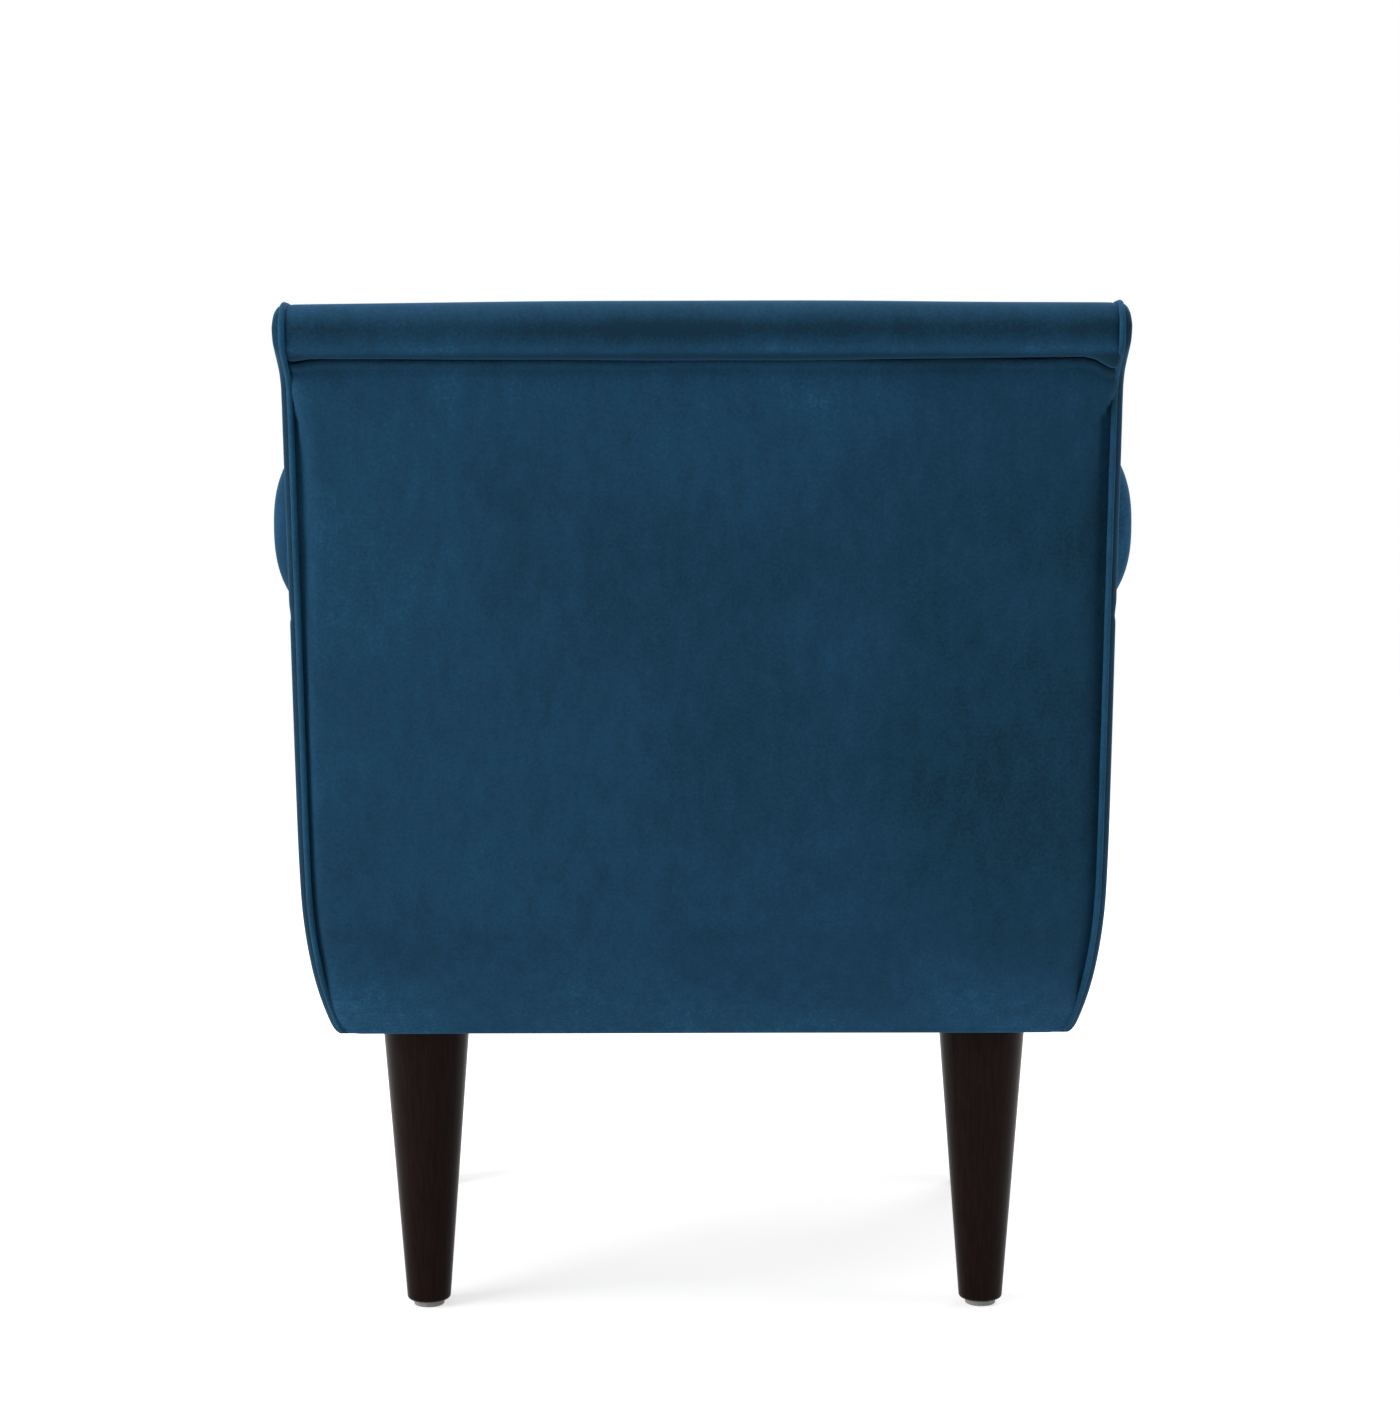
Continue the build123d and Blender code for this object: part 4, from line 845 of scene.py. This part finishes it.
def panel_painted_light_and_shade(points):
    """Painted shadow where the outside back tucks in under the lip and painted shade in its seam; painted light
    over its upper part and towards the bottom, most at the sides; painted shade towards the chair's right.
    """
    x, y, z = points.T
    below = LIP_Z - seam_drop(x) - z
    # Painted light on the upper part, painted shade towards the chair's right, painted light towards the bottom
    broad = 0.35 * ease(z, 600, 720) - 0.5 * ease(-x, 60, 280)
    broad = broad + (0.6 + 0.7 * ease(abs(x), 130, 280)) * (1 - ease(z, 242, 325))
    # Painted shadow under the lip, and painted shade in the seam itself
    shadow_under_lip = 0.85 * (1 - ease(below, 2, 18)) * (1 + 0.5 * hand_pull(x, z, 110, 14))
    return broad - shadow_under_lip - 1.2 * (1 - ease(below, 0, 4))


def side_painted_shade(points):
    """Painted shade on the sides where they turn in to the rear piping."""
    y, z = points[:, 1], points[:, 2]
    rear = outside_y(z) + (REAR_Y - NECK_Y) * ease(z, LIP_Z - 16, LIP_Z + 4)
    return -1.1 * ease(y, rear - 12, rear - 4)


def arm_painted_light(points, light):
    """Painted light over the outer half of the roll's rear end, scaled by light."""
    return light * ease(points[:, 1], 40, 240) * ease(abs(points[:, 0]), 296, 320)


inside_back = cloth_wall(mesh_piece("inside_back", inside_back_grid(), (0, 260, 600)))
# Painted shade and sheen on the roll's rear, and painted shade in the seam under it
store_painted_shading(inside_back, roll_painted_light_and_shade(points_of(inside_back.data)))
fit(inside_back, VELVET, ["inside_back_cover", "back_foam"])
outside_back = cloth_wall(mesh_piece("outside_back", outside_back_grid(), (0, 150, 560)))
# Painted light and shade over the outside back
store_painted_shading(outside_back, panel_painted_light_and_shade(points_of(outside_back.data)))
fit(outside_back, VELVET, ["outside_back_cover", "outside_back_board"])
facings = left_and_right("scroll_facing", back_facing_grid(), (250, 290, 690))
outside_arms = left_and_right("outside_arm", outside_arm_grid(), (200, -50, 420))
arms = left_and_right("rolled_arm", arm_grid(), (285, -60, 620))
arm_fronts = left_and_right("arm_front", arm_front_grid(), (280, -200, 480))
for side in ("left", "right"):
    fit(cloth_wall(facings[side]), VELVET, [f"back_facing_{side}"])
    # Painted light on the rear end of the right arm only
    store_painted_shading(arms[side], arm_painted_light(points_of(arms[side].data), 0.0 if side == "left" else 1.0))
    # Painted shade along the rear edges of the facings and outside arms
    store_painted_shading(facings[side], side_painted_shade(points_of(facings[side].data)))
    store_painted_shading(outside_arms[side], side_painted_shade(points_of(outside_arms[side].data)))
    covered = [f"outside_arm_cover_{side}", f"outside_arm_board_{side}"]
    fit(cloth_wall(outside_arms[side]), VELVET, covered)
    fit(cloth_wall(arms[side]), VELVET, [f"arm_cover_{side}", f"arm_foam_{side}"])
    fit(cloth_wall(arm_fronts[side], thickness=1.5), VELVET, [f"arm_facing_{side}"])
    flip = np.array([1.0 if side == "left" else -1.0, 1.0, 1.0])
    back_cord = cord_mesh(f"scroll_piping_{side}", back_piping_path() * flip, (1, 0, 0))
    fit(back_cord, CORD_VELVET, [f"back_piping_{side}"])
    front_cord = cord_mesh(f"arm_front_piping_{side}", arm_piping_path() * flip, (0, 1, 0))
    fit(front_cord, CORD_VELVET, [f"arm_piping_{side}"])
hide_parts("back_side_wadding")
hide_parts("inside_arm_boards")
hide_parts("arm_front_pads")

band = cloth_wall(mesh_piece("front_band_cover", front_band_grid(), (0, -200, 290)))
fit(band, VELVET, ["front_band"])

dust_half = HALF_BACK - SIDE_TUCK - 7.5
dust_front, dust_rear = FRONT_Y + 4.0, FOOT_Y - 2.0
dust_grid = stretched_cloth_grid(dust_half, dust_front, dust_rear, level=FRAME_Z - 0.2, sag=1.2)
dust_cloth = mesh_piece("dust_cloth", dust_grid, (0, 0, 300))
fit(cloth_wall(dust_cloth, thickness=0.6), LINING, ["dust_cover"])

deck_half, deck_rear = HALF_SEAT - 0.4, inside_y(DECK_Z) + 24.0
deck_grid = stretched_cloth_grid(deck_half, ARM_START, deck_rear, level=DECK_Z - 0.3, sag=0.8)
deck_sheet = mesh_piece("seat_deck", deck_grid, (0, 0, 250))
fit(cloth_wall(deck_sheet, thickness=1.2), LINING, ["deck_cloth", "deck_pad"])

cushion_parts = ["cushion_core", "cushion_fibre", "cushion_top", "cushion_bottom", "cushion_boxing"]
cushion = stuffed(mesh_piece("seat_cushion_cover", cushion_grid(), (0, -110, 400), around=True))
fit(cushion, VELVET, cushion_parts, body="seat_cushion")
for level, seam_z in (("lower", LOWER_SEAM_Z), ("upper", UPPER_SEAM_Z)):
    seam = cushion_ring(seam_z, CUSHION_CORD_INSET, RING_POINTS)
    ring = cord_mesh(f"cushion_piping_{level}", seam, (0, 0, 1), closed=True)
    fit(ring, CORD_VELVET, ["cushion_piping"], body="seat_cushion")
zip_strip = cloth_wall(mesh_piece("cushion_zip", zip_grid(), (0, 0, 420)), thickness=0.8)
fit(zip_strip, ZIP_TAPE, ["zip_tape"], body="seat_cushion")

finishes = {
    "leg_wood": LEG_WOOD,
    "frame_wood": FRAME_WOOD,
    "glide_plastic": GLIDE,
    "steel": STEEL,
    "webbing": WEBBING,
    "zip_metal": ZIP_METAL,
}
slots = {part["node"]: part["material_slot"] for part in frame["record"]["subparts"]}
for node, shown in frame["nodes"].items():
    finish = finishes.get(slots.get(node))
    if finish is not None and not shown.hide_render:
        shown.data.materials.clear()
        shown.data.materials.append(finish)


# Floor, light and camera
def seen_directly(tree):
    """1 for what the camera sees, straight on, mirrored or through glass, and 0 for light that falls on things."""
    rays = add(tree, "ShaderNodeLightPath").outputs
    seen = rays["Is Camera Ray"]
    for ray in ("Is Glossy Ray", "Is Transmission Ray"):
        seen = add(tree, "ShaderNodeMath", {0: seen, 1: rays[ray]}, operation="MAXIMUM").outputs[0]
    return seen


def studio_floor():
    """A pale floor: a little of its own white for the camera, so that only the soft shadow shows on it."""
    size, own_white = 30.0, 0.62
    corners = [(-size, -size, 0), (size, -size, 0), (size, size, 0), (-size, size, 0)]
    mesh = bpy.data.meshes.new("floor")
    mesh.from_pydata(corners, [], [(0, 1, 2, 3)])
    made = bpy.data.objects.new("floor", mesh)
    bpy.context.scene.collection.objects.link(made)
    # A painted floor: matt and pale, so that the shadow on it stays soft
    material, tree, shader, _ = new_material("pale studio floor", Roughness=0.9)
    shader.inputs["Base Color"].default_value = colour("#e8e8e8")
    shader.inputs["Emission Color"].default_value = colour("#ffffff")
    own = add(tree, "ShaderNodeMath", {0: seen_directly(tree), 1: own_white}, operation="MULTIPLY")
    tree.links.new(own.outputs[0], shader.inputs["Emission Strength"])
    made.data.materials.append(material)


def studio_world(level):
    """A white room that lights at a plain level and shows as white behind the chair."""
    world = bpy.data.worlds.new("studio")
    bpy.context.scene.world = world
    world.use_nodes = True
    tree = world.node_tree
    strength = add(tree, "ShaderNodeMapRange", {"Value": seen_directly(tree), "To Min": level, "To Max": 1.0})
    tree.links.new(strength.outputs["Result"], tree.nodes["Background"].inputs["Strength"])
    tree.nodes["Background"].inputs["Color"].default_value = colour("#ffffff")


def soft_box(name, place, target, size, watts):
    """A square soft light turned towards a point."""
    lamp = bpy.data.lights.new(name, "AREA")
    lamp.shape = "SQUARE"
    lamp.size = size
    lamp.energy = watts
    made = bpy.data.objects.new(name, lamp)
    made.location = place
    made.rotation_euler = (Vector(target) - Vector(place)).to_track_quat("-Z", "Y").to_euler()
    bpy.context.scene.collection.objects.link(made)


studio_floor()
studio_world(0.40)
soft_box("key", (2.7, 1.6, 1.5), (0, 0.1, 0.5), 1.9, 62)
soft_box("fill", (-2.9, 0.5, 1.7), (0, 0.1, 0.5), 1.6, 12)
soft_box("overhead", (0.0, 0.2, 2.8), (0, 0.2, 0.6), 2.0, 32)
soft_box("front", (-1.2, -2.8, 2.0), (0, 0, 0.5), 1.8, 30)

# The photograph's camera: its focal length and its frame in pixels, worked out from the chair's outline
focal_pixels, frame_pixels = 2880, 1401
camera = bpy.data.cameras.new("camera")
camera.sensor_width = 36.0
camera.lens = focal_pixels * camera.sensor_width / frame_pixels
camera_object = bpy.data.objects.new("camera", camera)
camera_object.location = (-0.003, 2.450, 0.677)
pitch, roll, yaw = math.radians(4.5), math.radians(0.15), math.radians(0.125)
camera_object.rotation_euler = (math.pi / 2 - pitch, roll, math.pi + yaw)
bpy.context.scene.collection.objects.link(camera_object)
bpy.context.scene.camera = camera_object
bpy.context.scene.view_settings.view_transform = "Standard"

bpy.context.view_layer.update()
